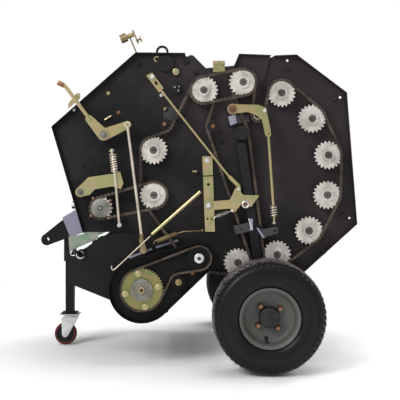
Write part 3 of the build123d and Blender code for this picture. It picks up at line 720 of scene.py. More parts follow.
@dataclass
class Chain:
    """A roller chain running round wheels, each given as (x, z, radius, turn)."""

    name: str
    body: str
    node: str
    wheels: list[tuple[float, float, float, int]]
    plane: float
    pitch: float = 15.875
    plate: float = 1.5       # thickness of a side plate
    inner_gap: float = 3.2   # from the middle to an inner link's plate
    outer_gap: float = 4.9
    eye_share: float = 0.42  # sizes as shares of the pitch
    roller_share: float = 0.31
    pin_share: float = 0.14

    def runs(self) -> list[tuple[Flat, Flat]]:
        """The straight runs between the wheels.

        Returns:
            Start and end of each run.
        """
        found = []
        for (ax, az, ar, at), (bx, bz, br, bt) in zip(self.wheels, self.wheels[1:] + self.wheels[:1]):
            lean = math.asin((br * bt - ar * at) / math.hypot(bx - ax, bz - az))
            side = math.atan2(bz - az, bx - ax) - math.pi / 2 - lean
            found.append(((ax + at * ar * math.cos(side), az + at * ar * math.sin(side)),
                          (bx + bt * br * math.cos(side), bz + bt * br * math.sin(side))))
        return found

    def line(self) -> list[Flat]:
        """The chain's middle line as many short steps.

        Returns:
            Its points, a closed loop.
        """
        runs = self.runs()
        points: list[Flat] = []
        for number, (start, end) in enumerate(runs):
            points.append(start)
            x, z, radius, turn = self.wheels[(number + 1) % len(self.wheels)]
            leave = runs[(number + 1) % len(runs)][0]
            first = math.atan2(end[1] - z, end[0] - x)
            last = math.atan2(leave[1] - z, leave[0] - x)
            swing = (last - first) % FULL_TURN if turn > 0 else -((first - last) % FULL_TURN)
            steps = max(2, int(abs(swing) * radius / ARC_STEP))
            points += [(x + radius * math.cos(first + swing * step / steps),
                        z + radius * math.sin(first + swing * step / steps)) for step in range(steps)]
        return points

    def joints(self) -> list[Flat]:
        """Where the chain's pins are, an even number of them.

        Returns:
            The pins' places.
        """
        points = self.line()
        closed = points + points[:1]
        lengths = [math.dist(a, b) for a, b in zip(closed, closed[1:])]
        count = 2 * round(sum(lengths) / self.pitch / 2)
        step = sum(lengths) / count
        places: list[Flat] = []
        travelled = 0.0
        for (a, b), length in zip(zip(closed, closed[1:]), lengths):
            while len(places) < count and len(places) * step <= travelled + length:
                share = (len(places) * step - travelled) / length if length else 0.0
                places.append((a[0] + (b[0] - a[0]) * share, a[1] + (b[1] - a[1]) * share))
            travelled += length
        return places

    def link(self, bench: Bench, outer: bool) -> list[bmesh.types.BMVert]:
        """One link's two side plates, its roller and its pin, with its first pin at the origin.

        Args:
            bench: Where it is made.
            outer: Whether it is an outer link.

        Returns:
            Its vertices.
        """
        before = set(bench.mesh.verts)
        gap = self.outer_gap if outer else self.inner_gap
        eye = self.pitch * self.eye_share
        for sign in (-1, 1):
            low, high = sorted((sign * gap, sign * (gap + self.plate)))
            bench.pin((0, 0), low, high, eye, 12)
            bench.pin((self.pitch, 0), low, high, eye, 12)
            bench.block((self.pitch / 2, (low + high) / 2, 0), (self.pitch * 0.7, self.plate - 0.1, eye * 1.3))
        bench.pin((0, 0), -self.inner_gap, self.inner_gap, self.pitch * self.roller_share, 10)
        if outer:
            tip = self.outer_gap + self.plate + 1
            for x in (0, self.pitch):
                bench.pin((x, 0), -tip, tip, self.pitch * self.pin_share, 8)
        return [vert for vert in bench.mesh.verts if vert not in before]

    def make(self) -> None:
        """Lays every link of the chain."""
        bench = Bench(self.name)
        places = self.joints()
        for outer in (False, True):
            matrices = []
            for number in range(int(outer), len(places), 2):
                a, b = places[number], places[(number + 1) % len(places)]
                turn = Matrix.Rotation(-math.atan2(b[1] - a[1], b[0] - a[0]), 4, "Y")
                stretch = Matrix.Scale(math.dist(a, b) / self.pitch, 4, (1, 0, 0))
                matrices.append(Matrix.Translation((a[0], self.plane, a[1])) @ turn @ stretch)
            bench.stamp(self.link(bench, outer), matrices)
        bench.finish(Finish.CHAIN, self.body, "chain_steel", [self.node] if self.node else [])


RING_AT = (200, 776)             # X, Z of the middle of the ring of bale rollers
RING_R = 364
STATIONS = 14
HINGE_ANGLE = 88.4               # degrees, where station nought is


def station(number: int) -> Flat:
    """Place of a bale roller in the ring, counted from the gate's hinge.

    Args:
        number: Its number.

    Returns:
        Its X and Z.
    """
    angle = math.radians(HINGE_ANGLE - 360 / STATIONS * number)
    return RING_AT[0] + RING_R * math.cos(angle), RING_AT[1] + RING_R * math.sin(angle)


def around(centre: Flat, radius: float, count: int, first: float) -> list[Flat]:
    """Places spread evenly round a circle.

    Args:
        centre: X and Z of its middle.
        radius: Its radius.
        count: How many.
        first: The first one's angle, in degrees.

    Returns:
        Their X and Z.
    """
    angles = [math.radians(first + 360 * number / count) for number in range(count)]
    return [(centre[0] + radius * math.cos(angle), centre[1] + radius * math.sin(angle)) for angle in angles]


def pitch_radius(pitch: float, teeth: int) -> float:
    """Radius on which a sprocket carries its chain.

    Args:
        pitch: The chain's pitch.
        teeth: The sprocket's teeth.

    Returns:
        The radius.
    """
    return pitch / (2 * math.sin(math.pi / teeth))


FEED = (-149.0, 685.0)
STARTER = (33.0, 432.0)
REEL = (-198.0, 304.0)
CROSS = (-363.0, 633.0)
RING_TEETH, INPUT_TEETH, REEL_TEETH, NOSE_TEETH = 21, 17, 42, 24


@dataclass
class ChainDrive:
    """All five roller chains."""

    gate_plane: float = -388
    front_plane: float = -412
    pickup_plane: float = -418
    pitch: float = 15.875
    pickup_pitch: float = 12.7

    def build(self) -> None:
        """Builds the chains."""
        ring = pitch_radius(self.pitch, RING_TEETH)

        def wheel(place: Flat, radius: float = ring, turn: int = 1) -> tuple[float, float, float, int]:
            """One wheel of a chain's path."""
            return (*place, radius, turn)

        gate = [wheel(station(0)), wheel((206, 936), 28, -1)] + [wheel(station(n)) for n in range(6, 0, -1)]
        Chain("gate_roller_chain", "gate", "chain_gate", gate + [wheel((271, 1009), 25, -1)],
              self.gate_plane).make()
        main = [wheel(FEED), wheel(STARTER), wheel(station(7)), wheel((89, 964), 26, -1), wheel(station(13)),
                wheel((-107, 972), 30, -1), wheel(station(11))]
        Chain("main_roller_chain", "frame", "chain_main", main, self.gate_plane).make()
        Chain("top_roller_chain", "frame", "", [wheel(station(13)), wheel(station(0))], self.front_plane).make()
        line = [wheel(CROSS, pitch_radius(self.pitch, INPUT_TEETH)), wheel(FEED)]
        Chain("input_roller_chain", "frame", "chains_outer", line, self.front_plane).make()
        pickup = [wheel(REEL, pitch_radius(self.pickup_pitch, REEL_TEETH)), wheel((-50, 336), 34, -1),
                  wheel(STARTER, pitch_radius(self.pickup_pitch, NOSE_TEETH))]
        Chain("pickup_roller_chain", "pickup", "chain_pickup", pickup, self.pickup_plane, self.pickup_pitch).make()


@dataclass
class RoadWheel:
    """A road wheel's tyre with its tread, its pressed rim and the nuts, valve and hub cap on it."""

    side: Side
    axle: Flat = (300, 220)
    middle: float = 525
    blocks: int = 54
    block_height: float = 15        # most of it is sunk in the casing
    block_share: float = 0.62       # a block's length as a share of its step
    block_turn: float = 0.14
    tread_radius: float = 214
    stud_circle: float = 53
    stud_angle: float = 38          # degrees
    valve_angle: float = 262

    @property
    def name(self) -> str:
        """The side's name, as the nodes and bodies have it."""
        return self.side.name.lower()

    def at(self, out: float, radius: float, angle: float) -> Point:
        """A point of the wheel.

        Args:
            out: Distance outwards from the tyre's middle.
            radius: Distance from the axle.
            angle: Angle round the axle, in radians.

        Returns:
            The point.
        """
        return (self.axle[0] + radius * math.cos(angle), self.side.value * (self.middle + out),
                self.axle[1] + radius * math.sin(angle))

    def turn(self, bench: Bench, profile: Sequence[Flat], steps: int) -> None:
        """Turns an outline about the axle.

        Args:
            bench: Where it is made.
            profile: Corners as (distance outwards, radius).
            steps: Steps of a full turn.
        """
        bench.lathe([(out * self.side.value, radius) for out, radius in profile], self.at(0, 0, 0), steps)

    def tyre(self) -> None:
        """The casing turned in one piece, with rows of tread blocks on its crown and shoulders."""
        bench = Bench(f"tyre_tread_{self.name}")
        half = [(80, 104), (81, 116), (84, 121), (90, 125), (94, 133), (97, 146), (98, 158), (97.5, 172), (95, 186),
                (92, 194), (86, 203), (76, 208), (58, 211), (30, 212.5), (0, 213)]
        self.turn(bench, half + [(-out, radius) for out, radius in half[-2::-1]], 96)
        # row's middle, row's width, share of a step, crown radius, slant
        rows = [(0, 22, 0.0, 219.4, 0.0), (29, 25, 0.5, 219.0, 0.06), (-29, 25, 0.5, 219.0, -0.06),
                (58, 24, 0.0, 217.0, 0.12), (-58, 24, 0.0, 217.0, -0.12), (81, 15, 0.5, 210.5, 0.42),
                (-81, 15, 0.5, 210.5, -0.42)]
        tall = self.block_height
        step = FULL_TURN / self.blocks
        long = step * self.tread_radius * self.block_share
        for out, width, share, crown, slant in rows:
            before = set(bench.mesh.verts)
            lean = Matrix.Rotation(-slant * self.side.value, 4, "Y") @ Matrix.Rotation(self.block_turn, 4, "X")
            bench.block((0, 0, 0), (tall, width, long), soft=1.4, turn=lean)
            angles = [(number + share) * step for number in range(self.blocks)]
            bench.stamp([vert for vert in bench.mesh.verts if vert not in before],
                        [Matrix.Translation(self.at(out, crown - tall / 2, angle)) @ Matrix.Rotation(-angle, 4, "Y")
                         for angle in angles])
        # rings moulded round the sidewall
        for out, radius in ((97.2, 150), (95.0, 188)):
            self.turn(bench, [(out - 1.5, radius - 2.2), (out + 1.2, radius - 1), (out + 1.2, radius + 1),
                              (out - 1.5, radius + 2.2)], 96)
        bench.finish(Finish.TYRE, f"wheel_{self.name}", "tyre", [f"tyre_{self.name}"])

    def rim(self) -> None:
        """The pressed rim: rolled flanges, drop centre and dished disc."""
        bench = Bench(f"rim_pressing_{self.name}")
        self.turn(bench, [(-86, 117), (-83, 117.5), (-81, 115), (-80, 103), (-50, 102), (-40, 92), (30, 92), (42, 102),
                          (76, 103), (80, 113), (83, 117.5), (87, 117), (88.5, 115), (88, 112.5), (86, 110),
                          (83, 106), (80, 103.5), (76, 101.5), (60, 99.5), (44, 99), (38, 95), (34.5, 88), (33, 80),
                          (32, 62), (30, 57), (29.5, 36.4), (25, 36.4), (25, 58), (27, 64), (28, 80), (27, 86),
                          (22, 89), (-38, 89), (-48, 99.5), (-78, 100.5), (-84, 102), (-86, 112)], 72)
        bench.finish(Finish.RIM, f"wheel_{self.name}", "rim_paint", [f"rim_{self.name}"])

    def hardware(self) -> None:
        """Copper-coloured wheel nuts, the valve and the hub with its cap."""
        body = f"wheel_{self.name}"
        nuts = Bench(f"wheel_nuts_{self.name}")
        for quarter in range(4):
            angle = math.radians(90 * quarter + self.stud_angle)
            foot, top, seat = (self.at(out, self.stud_circle, angle) for out in (29, 36, 35))
            nuts.rod(foot, top, 13, 20, end_radius=9.5)
            nuts.bolt(seat, across=19, head=13, washer=0, stud=7, axis=(0, self.side.value, 0))
        nuts.finish(Finish.COPPER, body, "bare_steel")
        hub = Bench(f"hub_cap_{self.name}")
        self.turn(hub, [(26, 20), (26, 41), (36, 41), (60, 39.5), (65, 38), (67, 35), (68, 30), (68, 0.01), (60, 0.01),
                        (60, 20)], 56)
        hub.finish(Finish.CAP, body, "cap_plastic")
        barrel = Bench(f"hub_barrel_{self.name}")
        self.turn(barrel, [(-70, 20), (-70, 38), (-64, 41), (-20, 41), (-18, 46), (22, 46), (22, 36), (25, 36),
                           (25, 20)], 48)
        barrel.finish(Finish.CASTING, body, "cap_plastic", [f"hub_{self.name}"])
        valve = Bench(f"valve_{self.name}")
        angle = math.radians(self.valve_angle)
        # start as (outwards, radius), end, thickness, sides, bevel
        for start, end, radius, sides, soft in (((30, 82), (58, 90), 4, 12, 0), ((56, 89.5), (66, 92), 4.6, 12, 0.8),
                                                ((31, 81), (34.5, 81), 8, 20, 0)):
            valve.rod(self.at(*start, angle), self.at(*end, angle), radius, sides, soft=soft)
        valve.finish(Finish.CAP, body, "cap_plastic")

    def build(self) -> None:
        """Builds the wheel's pieces."""
        self.tyre()
        self.rim()
        self.hardware()


@dataclass
class Springs:
    """Coil springs of the tensioner, the gate lock, the pickup and the pawl, with their hooks and rods."""

    tension_y: float = -441
    lock_y: float = -435
    brace_y: float = -407
    pawl_y: float = -416
    lift_y: float = -434
    hook_y: float = -459

    @staticmethod
    def along(y: float, *places: Flat) -> list[Point]:
        """Points at one distance from the machine's middle.

        Args:
            y: Their Y.
            places: X and Z of each.

        Returns:
            The points.
        """
        return [(x, y, z) for x, z in places]

    def tension(self) -> None:
        """The chain tensioner's pull rod with its spring."""
        y = self.tension_y
        bench = Bench("tension_spring")
        bench.coil((-312, y, 845), (-305, y, 783), 12.6, 2.6, 6.5)
        bench.wire(self.along(y, (-316.4, 863), (-303, 754), (-287, 574), (-280, 561)), 5, 12)
        bench.pin((-286, 566), -446, -362, 6, 20, soft=1)
        for x, z in ((-312.3, 848), (-304.8, 780)):
            bench.rod((x, y, z - 1.4), (x, y, z + 1.4), 15, 24)
        bench.bolt((-316, y, 860), across=15, head=8, washer=2, axis=(-0.13, 0, 1))
        bench.finish(Finish.CREAM, "frame", "zinc_yellow", ["tension_rod"])

    def lock(self) -> None:
        """The gate lock's hanging rod with its spring and the knob under it."""
        y = self.lock_y
        spring = Bench("lock_spring")
        spring.coil((329, y, 645), (331.8, y, 600), 14.2, 2.4, 4.5)
        spring.rod((332.2, y, 579), (332.8, y, 570), 7, 20, soft=2)
        spring.finish(Finish.SPRING, "frame", "bare_steel")
        hanger = Bench("lock_hanging_rod")
        hanger.wire(self.along(y, (309, 932), (329, 645)), 6, 14)
        hanger.wire(self.along(y, (329, 646), (332, 600), (332.2, 575)), 4.5, 12)
        hanger.pin((309, 930), -443, -427, 10, 20, soft=1)
        hanger.finish(Finish.GOLD, "frame", "zinc_yellow", ["lock_rod"])

    def hooked(self) -> None:
        """The return spring under the brace and the small spring of the pawl, each with its hooks."""
        y = self.brace_y
        pull = Bench("return_spring_coil")
        pull.coil((-138, y, 498.5), (-60, y, 529), 8.6, 2.1, 21)
        pull.wire(self.along(y, (-138, 506), (-146, 500), (-151, 491), (-147, 486)), 1.8, 8)
        pull.wire(self.along(y, (-60, 529), (-29, 538), (13, 540), (52, 542)), 2.2, 8)
        pull.rod((13, y, 540), (13.1, y, 540), 5, 12)
        pull.pin((46, 543), -410, -362, 5, 16, soft=0.8)
        pull.finish(Finish.BRASS, "frame", "bare_steel", ["return_spring"])
        y = self.pawl_y
        small = Bench("pawl_spring")
        small.coil((102.5, y, 599), (148.7, y, 616), 6.5, 2.2, 7)
        small.wire([(102.5, y, 599), (92, y, 592), (84, -372, 588)], 1.9, 8)
        small.wire([(148.7, y, 616), (160, y, 620), (172, -419.5, 625)], 1.9, 8)
        small.finish(Finish.SPRING, "frame", "bare_steel")

    def rods(self) -> None:
        """The pickup's lift rod with its forked foot, and the thin hooked rod beside the brace."""
        y = self.lift_y
        lift = Bench("lift_rod_forked")
        lift.rod((-255, y, 968), (-197, y, 515), 5.8, 16)
        lift.lathe([(-6, 7.4), (-6, 13), (6, 13), (6, 7.4)], (-255, y, 968), 28)
        lift.finish(Finish.CREAM, "lift_rod", "zinc_yellow", ["lift_rod"])
        foot = Bench("lift_rod_foot")
        foot.bolt((-198.6, y, 530), across=15, head=9, washer=0, axis=(0.13, 0, -1))
        foot.rod((-197.8, y, 521), (-194, y, 480), 8, 16)
        foot.lathe([(-6, 12.6), (-6, 15), (6, 15), (6, 12.6)], (-190, y, 466), 28)
        foot.plate([(-207, 513), (-192, 515), (-182, 486), (-178, 462), (-184, 452), (-196, 452), (-202, 462)],
                   -451, 4, soft=1)
        foot.pin((-190, 466), -451, -455, 6, 16, soft=1)
        foot.finish(Finish.BRASS, "lift_rod", "zinc_yellow")
        thin = Bench("hooked_rod")
        thin.wire([(-154, self.brace_y, 530), (-159, self.brace_y - 2, 525)]
                  + self.along(self.hook_y, (-164, 521), (-301, 393), (-310, 388), (-316, 395), (-315, 406)), 2.3, 10)
        thin.finish(Finish.CREAM, "frame", "zinc_yellow")

    def build(self) -> None:
        """Builds the springs and the rods."""
        self.tension()
        self.lock()
        self.hooked()
        self.rods()


@dataclass
class Castor:
    """The castor wheel under the jack."""

    axle: Point = (-568, 0, 50)
    cheek: tuple[Flat, ...] = ((-584, 127), (-510, 127), (-551, 50), (-559, 40), (-576, 40), (-582, 52))
    cheek_faces: Flat = (-28.5, 25.5)

    def build(self) -> None:
        """Builds its tread, its wheel centre, the fork's cheeks with the axle's nuts, and the plate over the fork."""
        tyre = Bench("castor_tread")
        tyre.lathe([(-15, 40.5), (-16, 43), (-15, 46), (-11, 49), (-4, 50), (4, 50), (11, 49), (15, 46), (16, 43),
                    (15, 40.5)], self.axle, 56)
        tyre.finish(Finish.CASTOR, "castor_wheel", "castor_rubber", ["castor_tyre"])
        centre = Bench("castor_centre")
        centre.lathe([(-15, 41), (-14, 35), (-8, 32), (-7, 17), (-12, 14), (-15, 13), (-15, 6.4), (15, 6.4), (15, 13),
                      (12, 14), (7, 17), (8, 32), (14, 35), (15, 41)], self.axle, 48)
        centre.finish(Finish.CAP, "castor_wheel", "cap_plastic", ["castor_hub"])
        nuts = Bench("castor_axle_nuts")
        x, y, z = self.axle
        nuts.bolt((x, y - 25, z), across=16, head=6, stud=3)
        nuts.bolt((x, y + 25, z), across=16, head=6, axis=(0, 1, 0))
        for face in self.cheek_faces:
            nuts.plate(self.cheek, face, 3, soft=0.8)
        nuts.finish(Finish.ZINC, "castor_fork", "zinc_white")
        top = Bench("castor_top_plate")
        top.block((-548, 0, 138.8), (92, 76, 4), soft=1)
        top.finish(Finish.ZINC, "jack", "zinc_white")


@dataclass
class Fasteners:
    """Bolts, nuts, shaft ends with dark rings that paint a shadow line round them, over the sheets, bearings and
    levers.
    """

    sheet_face: float = 362
    gate_face: float = 352
    flange: float = 3              # thickness of a bearing's flange
    flange_circle: float = 30      # radius of its bolts' circle
    shaft_radius: float = 15
    front_tip: float = -424        # Y of the shafts' ends, where there are two sprockets and where there is one
    gate_tip: float = -402

    @staticmethod
    def through(bench: Bench, places: Iterable[Flat], face: float, across: float, head: float, washer: float = 1.5,
                signs: tuple[int, ...] = (-1, 1)) -> None:
        """The same bolts on one or both sides of the machine.

        Args:
            bench: Where they are made.
            places: Their X and Z.
            face: Distance of their seat from the machine's middle.
            across: Size across the flats.
            head: The heads' height.
            washer: The washers' thickness.
            signs: Which sides.
        """
        for x, z in places:
            for sign in signs:
                bench.bolt((x, sign * face, z), across, head, washer, axis=(0, sign, 0))

    def flange_bolts(self, bench: Bench, place: Flat, face: float, signs: tuple[int, ...] = (-1, 1)) -> None:
        """Bolts round a bearing's flange.

        Args:
            bench: Where they are made.
            place: The bearing's X and Z.
            face: The sheet's outer face.
            signs: Which sides of the machine.
        """
        self.through(bench, around(place, self.flange_circle, 4, 45), face + self.flange, 10, 4.5, 1, signs)

    def shaft_end(self, bench: Bench, place: Flat, tip: float) -> None:
        """A shaft's end: its centre bore and chamfer, and a dark ring round the shaft behind its tip, a painted shadow
        line.

        Args:
            bench: Where it is made.
            place: Its X and Z.
            tip: Y of the shaft's tip.
        """
        centre = (place[0], tip, place[1])
        radius = self.shaft_radius
        bench.lathe([(0, 4), (-1.6, 5.5), (-1.6, radius - 3.5), (0, radius - 2), (1.5, radius - 2), (1.5, 4)],
                    centre, 28)
        # dark ring round the shaft: a painted shadow line round its end
        bench.lathe([(4, radius), (4, radius + 3.4), (5.8, radius + 3.4), (5.8, radius)], centre, 28)

    def black_frame(self) -> None:
        """Painted bolts of the side sheets and bearings, which sink into the black."""
        bench = Bench("painted_bolts_frame")
        for place in (station(0), station(11), station(12), station(13), FEED, station(7)):
            self.flange_bolts(bench, place, self.sheet_face)
        self.flange_bolts(bench, STARTER, self.sheet_face, (Side.RIGHT.value,))
        for x, z, across in ((-215, 1222, 17), (-20, 1230, 17), (20, 1185, 13), (-330, 575, 17), (-270, 567, 17),
                             (125, 900, 13), (-20, 860, 10), (120, 480, 13), (-30, 460, 10), (-440, 800, 10)):
            self.through(bench, [(x, z)], self.sheet_face, across, across * 0.42)
        bench.pin((-60, 1119), -362, -378, 21, 28, soft=2)
        bench.lathe([(-398, 15), (-398, 24), (-401, 24), (-402, 22), (-402, 15)], (89, 0, 964), 32)
        bench.lathe([(-379, 12), (-379, 27), (-383, 27), (-388, 20), (-388, 12)], (203, 0, 932), 36)
        bench.wire([(20, -376, 760), (116, -376, 765)], 2, 8)
        bench.finish(Finish.FRAME, "frame", "frame_paint")

    def gold_frame(self) -> None:
        """Small passivated bolts, screws and rings of the left sheet."""
        bench = Bench("gold_bolts_frame")
        for x, y, z, across, head, washer in ((-338, -362, 1101, 9, 4, 1.5), (-105, -362, 1036, 9, 4, 1.5),
                                              (101, -368, 1221, 11, 5, 1.5), (127, -368, 1221, 11, 5, 1.5),
                                              (-61, -376, 1188, 15, 6, 0)):
            bench.bolt((x, y, z), across, head, washer)
        bench.rod((-352, -372, 991), (-325, -372, 1008), 4, 12)
        bench.rod((6, -374, 781), (24, -374, 781), 4.5, 12)
        bench.pin((-61, 1188), -368, -374, 14, 24, soft=1)
        bench.lathe([(0, 7), (0, 12), (3, 12), (3, 7)], (-140, -366, 1241), 28)
        bench.finish(Finish.GOLD, "frame", "zinc_yellow")

    def bright_frame(self) -> None:
        """Bright nuts on the levers' pins and the washered pin of the pawl."""
        bench = Bench("bright_nuts_frame")
        for x, y, z, across in ((-157, -410, 1162, 11), (191, -414, 709, 11), (66, -370, 826, 12),
                                (-286, -446, 566, 10), (-122, -362, 1093, 8), (-479, -362, 1034, 8),
                                (296, -428, 1024, 8)):
            bench.bolt((x, y, z), across, across * 0.4)
        # domed head on the upright bar
        bench.pin((71, 641), -370, -374, 13, 28)
        bench.pin((71, 641), -374, -378, 13, 28, end_radius=8)
        bench.lathe([(0, 9), (0, 16), (-4, 15.4), (-5.5, 12), (-4, 9)], (219, -422, 648), 36)
        for x, z in ((-66, 1124), (-52, 1110), (-49, 1127)):
            bench.bolt((x, -378, z), across=5, head=3, washer=0)
        # bright zinc strip along the axle leg's left edge: a painted edge highlight
        bench.block((239, -417, 568), (5, 6, 48), soft=1, turn=Matrix.Rotation(-0.27, 4, "Y"))
        bench.finish(Finish.ZINC, "frame", "bare_steel")

    def dull_frame(self) -> None:
        """Copper-coloured and grey nuts and rivets of the left side."""
        copper = Bench("copper_nuts_frame")
        copper.bolt((219, -422, 648), across=13, head=6, washer=0, stud=3)
        copper.bolt((-297, -self.sheet_face, 1022), across=9, head=4)
        copper.bolt((167, -434, 1031), across=19, head=7, stud=4)
        copper.bolt((89, -398, 964), across=11, head=6)
        copper.pin((-107, 972), -398, -405, 8, 20, soft=1.5)
        copper.pin((309, 930), -443, -446, 5, 16, soft=0.8)
        for place in around(CROSS, 50, 4, 128):
            copper.pin(place, -415, -421, 5.5, 16, soft=0.8)
        copper.finish(Finish.COPPER, "frame", "bare_steel")
        grey = Bench("grey_nuts_frame")
        grey.bolt((-352, -430, 928), across=19, head=8, stud=4)
        grey.bolt((-443, -433, 698), across=17, head=7, stud=3)
        grey.finish(Finish.HUB, "frame", "bare_steel")

    def clamps(self) -> None:
        """The strap clamps over the axle's left leg."""
        tabs = Bench("leg_clamp_tabs")
        tabs.plate([(171, 561), (236, 576), (243, 541), (180, 526)], -416, 4, soft=1)
        tabs.plate([(282, 547), (350, 559), (351, 531), (288, 513)], -416, 4, soft=1)
        tabs.plate([(171, 561), (180, 563), (189, 529), (180, 526)], -412, 50)
        tabs.plate([(184, 1013), (237, 1008), (239, 982), (188, 976)], -380, 6, soft=1)
        tabs.finish(Finish.CLAMP, "frame", "frame_paint", ["leg_clamps"])
        dark = Bench("leg_clamp_backs")
        dark.plate([(236, 576), (262, 572), (290, 556), (290, 514), (243, 541)], -413, 3)
        dark.plate([(150, 1012), (166, 1012), (166, 969), (150, 969)], -376, 14)
        for place, start, radius in (((204, 549), -417, 4), ((338, 541), -417, 5), ((218, 998), -381, 3.5)):
            dark.pin(place, start, start + 2, radius, 16)
        dark.finish(Finish.FRAME, "frame", "frame_paint")
        pale = Bench("leg_clamp_strips")
        pale.plate([(263, 553), (272, 553), (298, 513), (288, 513)], -418, 2)
        pale.plate([(237, 590), (249, 590), (249, 543), (237, 543)], -418, 2)
        pale.plate([(151, 1004), (183, 1014), (187, 977), (160, 967)], -382, 3, soft=1)
        pale.finish(Finish.LILAC, "frame", "pale_paint")

    def shaft_ends(self) -> None:
        """Ends of the shafts that carry sprockets, and the input sprocket's grey boss."""
        ends = Bench("shaft_ends_frame")
        for place, tip in ((station(0), self.front_tip), (station(7), self.gate_tip), (FEED, self.front_tip),
                           (station(11), self.gate_tip), (station(13), self.front_tip), (CROSS, -430)):
            self.shaft_end(ends, place, tip)
        ends.finish(Finish.DARK_STEEL, "frame", "bare_steel")
        boss = Bench("input_boss")
        boss.lathe([(-425, 16), (-425, 35), (-427, 37.5), (-430, 37.5), (-431, 36), (-431, 16)],
                   (CROSS[0], 0, CROSS[1]), 48)
        boss.finish(Finish.HUB, "frame", "bare_steel")
        gate = Bench("shaft_ends_gate")
        for number in range(1, 7):
            self.shaft_end(gate, station(number), self.gate_tip)
        gate.finish(Finish.DARK_STEEL, "gate", "bare_steel")

    def gate(self) -> None:
        """Painted bolts of the gate's bearings and ties, and the rims of the holes in its sheets."""
        bench = Bench("painted_bolts_gate")
        for number in range(2, 7):
            self.flange_bolts(bench, station(number), self.gate_face)
        self.through(bench, ((395, 1205), (585, 1078), (622, 600), (540, 455)), self.gate_face, 17, 7)
        bench.bolt((271, -398, 1009), across=16, head=6)
        for x, z, bore in ((395, 1236, 5), (612, 1085, 5), (650, 590, 4), (462, 392, 0.01)):
            for sign in (-1, 1):
                bench.lathe([(0, bore), (0, 11), (sign * 1.2, 11), (sign * 1.2, bore)],
                            (x, sign * self.gate_face, z), 28)
        bench.finish(Finish.SHEET, "gate", "frame_paint")

    def reel(self) -> None:
        """The reel's hub and the big sprocket's bolts."""
        middle = (REEL[0], 0, REEL[1])
        hub = Bench("reel_hub_face")
        hub.lathe([(-424, 15), (-424, 44), (-426.5, 46), (-429, 45), (-429, 30), (-427.5, 28), (-427.5, 15)],
                  middle, 56)
        hub.finish(Finish.HUB, "reel", "bare_steel")
        bolts = Bench("reel_sprocket_bolts")
        for x, z in around(REEL, 68, 4, 12):
            bolts.bolt((x, -427, z), across=16, head=5, stud=3)
        bolts.lathe([(-428, 8), (-428, 16), (-433, 15), (-436, 12), (-436, 8)], middle, 32)
        bolts.finish(Finish.GOLD, "reel", "bare_steel")

    def pickup(self) -> None:
        """The pickup's nose hub and bolts, the rings at its front corner and pale strips along its guard's top edge, a
        painted highlight.
        """
        nose = Bench("nose_hub_ring")
        nose.lathe([(-423.5, 15.6), (-423.5, 19), (-426, 20), (-438, 19.5), (-439, 18), (-439, 7.5), (-437.5, 7.5),
                    (-437.5, 15.6)], (STARTER[0], 0, STARTER[1]), 44)
        nose.finish(Finish.ZINC, "pickup", "bare_steel")
        small = Bench("pickup_gold_bolts")
        small.pin((-50, 336), -428, -433, 13, 28, soft=1)
        small.bolt((-50, -433, 336), across=15, head=5, washer=0)
        small.finish(Finish.BRASS, "pickup", "zinc_yellow")
        copper = Bench("pickup_copper_bolt")
        copper.bolt((6, -403, 370), across=9, head=5)
        copper.finish(Finish.COPPER, "pickup", "zinc_yellow")
        ring = Bench("pickup_front_ring")
        ring.lathe([(-374, 11), (-374, 19), (-377, 18.5), (-377, 11.5)], (-451, 0, 443), 36)
        corners = [(x, -379, z) for x, z in around((-481, 447), 9, 15, 0)]
        ring.wire(corners + corners[:1], 1.8, 8)
        ring.finish(Finish.ZINC, "pickup", "bare_steel")
        edge_highlight = Bench("guard_edge_highlight_strips")
        # pale strips along the guard's top edge: a painted edge highlight
        for start, end in (((-252, 429), (-158, 465)), ((-143, 471), (-52, 500))):
            lean = math.atan2(end[1] - start[1], end[0] - start[0])
            middle = ((start[0] + end[0]) / 2, -377, (start[1] + end[1]) / 2)
            edge_highlight.block(middle, (math.dist(start, end), 6, 9), soft=1, turn=Matrix.Rotation(-lean, 4, "Y"))
        edge_highlight.finish(Finish.LILAC, "pickup", "pale_paint")

    def grip(self) -> None:
        """The end of the lift lever's handle."""
        bench = Bench("lever_grip")
        bench.rod((-508, -414, 1125), (-536, -414, 1139), 10.3, 24, soft=2)
        bench.finish(Finish.COPPER, "lift_lever", "castor_rubber")

    def build(self) -> None:
        """Builds the fasteners of each body."""
        for part in (self.black_frame, self.gold_frame, self.bright_frame, self.dull_frame, self.clamps,
                     self.shaft_ends, self.gate, self.reel, self.pickup, self.grip):
            part()


@dataclass
class Dressing:
    """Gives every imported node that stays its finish."""

    finishes: dict[Finish, str] = field(default_factory=lambda: {
        Finish.SHEET: "side_sheet_left side_sheet_right front_covers gate_sheet_left gate_sheet_right",
        Finish.FRAME: "frame_ties drawbar idlers_front axle_beam axle_legs jack_sleeve jack_tube top_fittings "
                      "gate_ties pickup_plate_left pickup_plate_right pickup_bands",
        Finish.GUARD: "pickup_guard pickup_drive",
        Finish.ROLLER: "rollers_front rollers_gate reel_tines",
        Finish.CASTING: "gearbox bearings_front bearings_gate",
        Finish.SPROCKET: "sprockets_front sprockets_gate",
        Finish.BRIGHT: "drive_shafts lever_stubs",
        Finish.ZINC: "castor_fork",
        # the drawbar's cheeks in pale lilac: a painted reflection of the bright surroundings off the bent cheek plates
        Finish.LILAC: "drawbar_cheeks",
        Finish.PALE: "front_brackets",
        Finish.GOLD: "tension_arm lock_lever trip_rod brace_tube lift_lever upright_bar pawl_plate lever_quadrant "
                     "top_bracket",
        Finish.BRASS: "twine_brake",
        Finish.OLIVE: "reel_sprocket",
    })

    def build(self) -> None:
        """Dresses the nodes."""
        for finish, names in self.finishes.items():
            for name in names.split():
                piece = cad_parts[name]
                if not piece.material_slots:
                    piece.data.materials.append(None)
                for slot in piece.material_slots:
                    slot.material = STORE.get(finish)
                LOG.info("%s dressed in %s", name, finish.value.name)


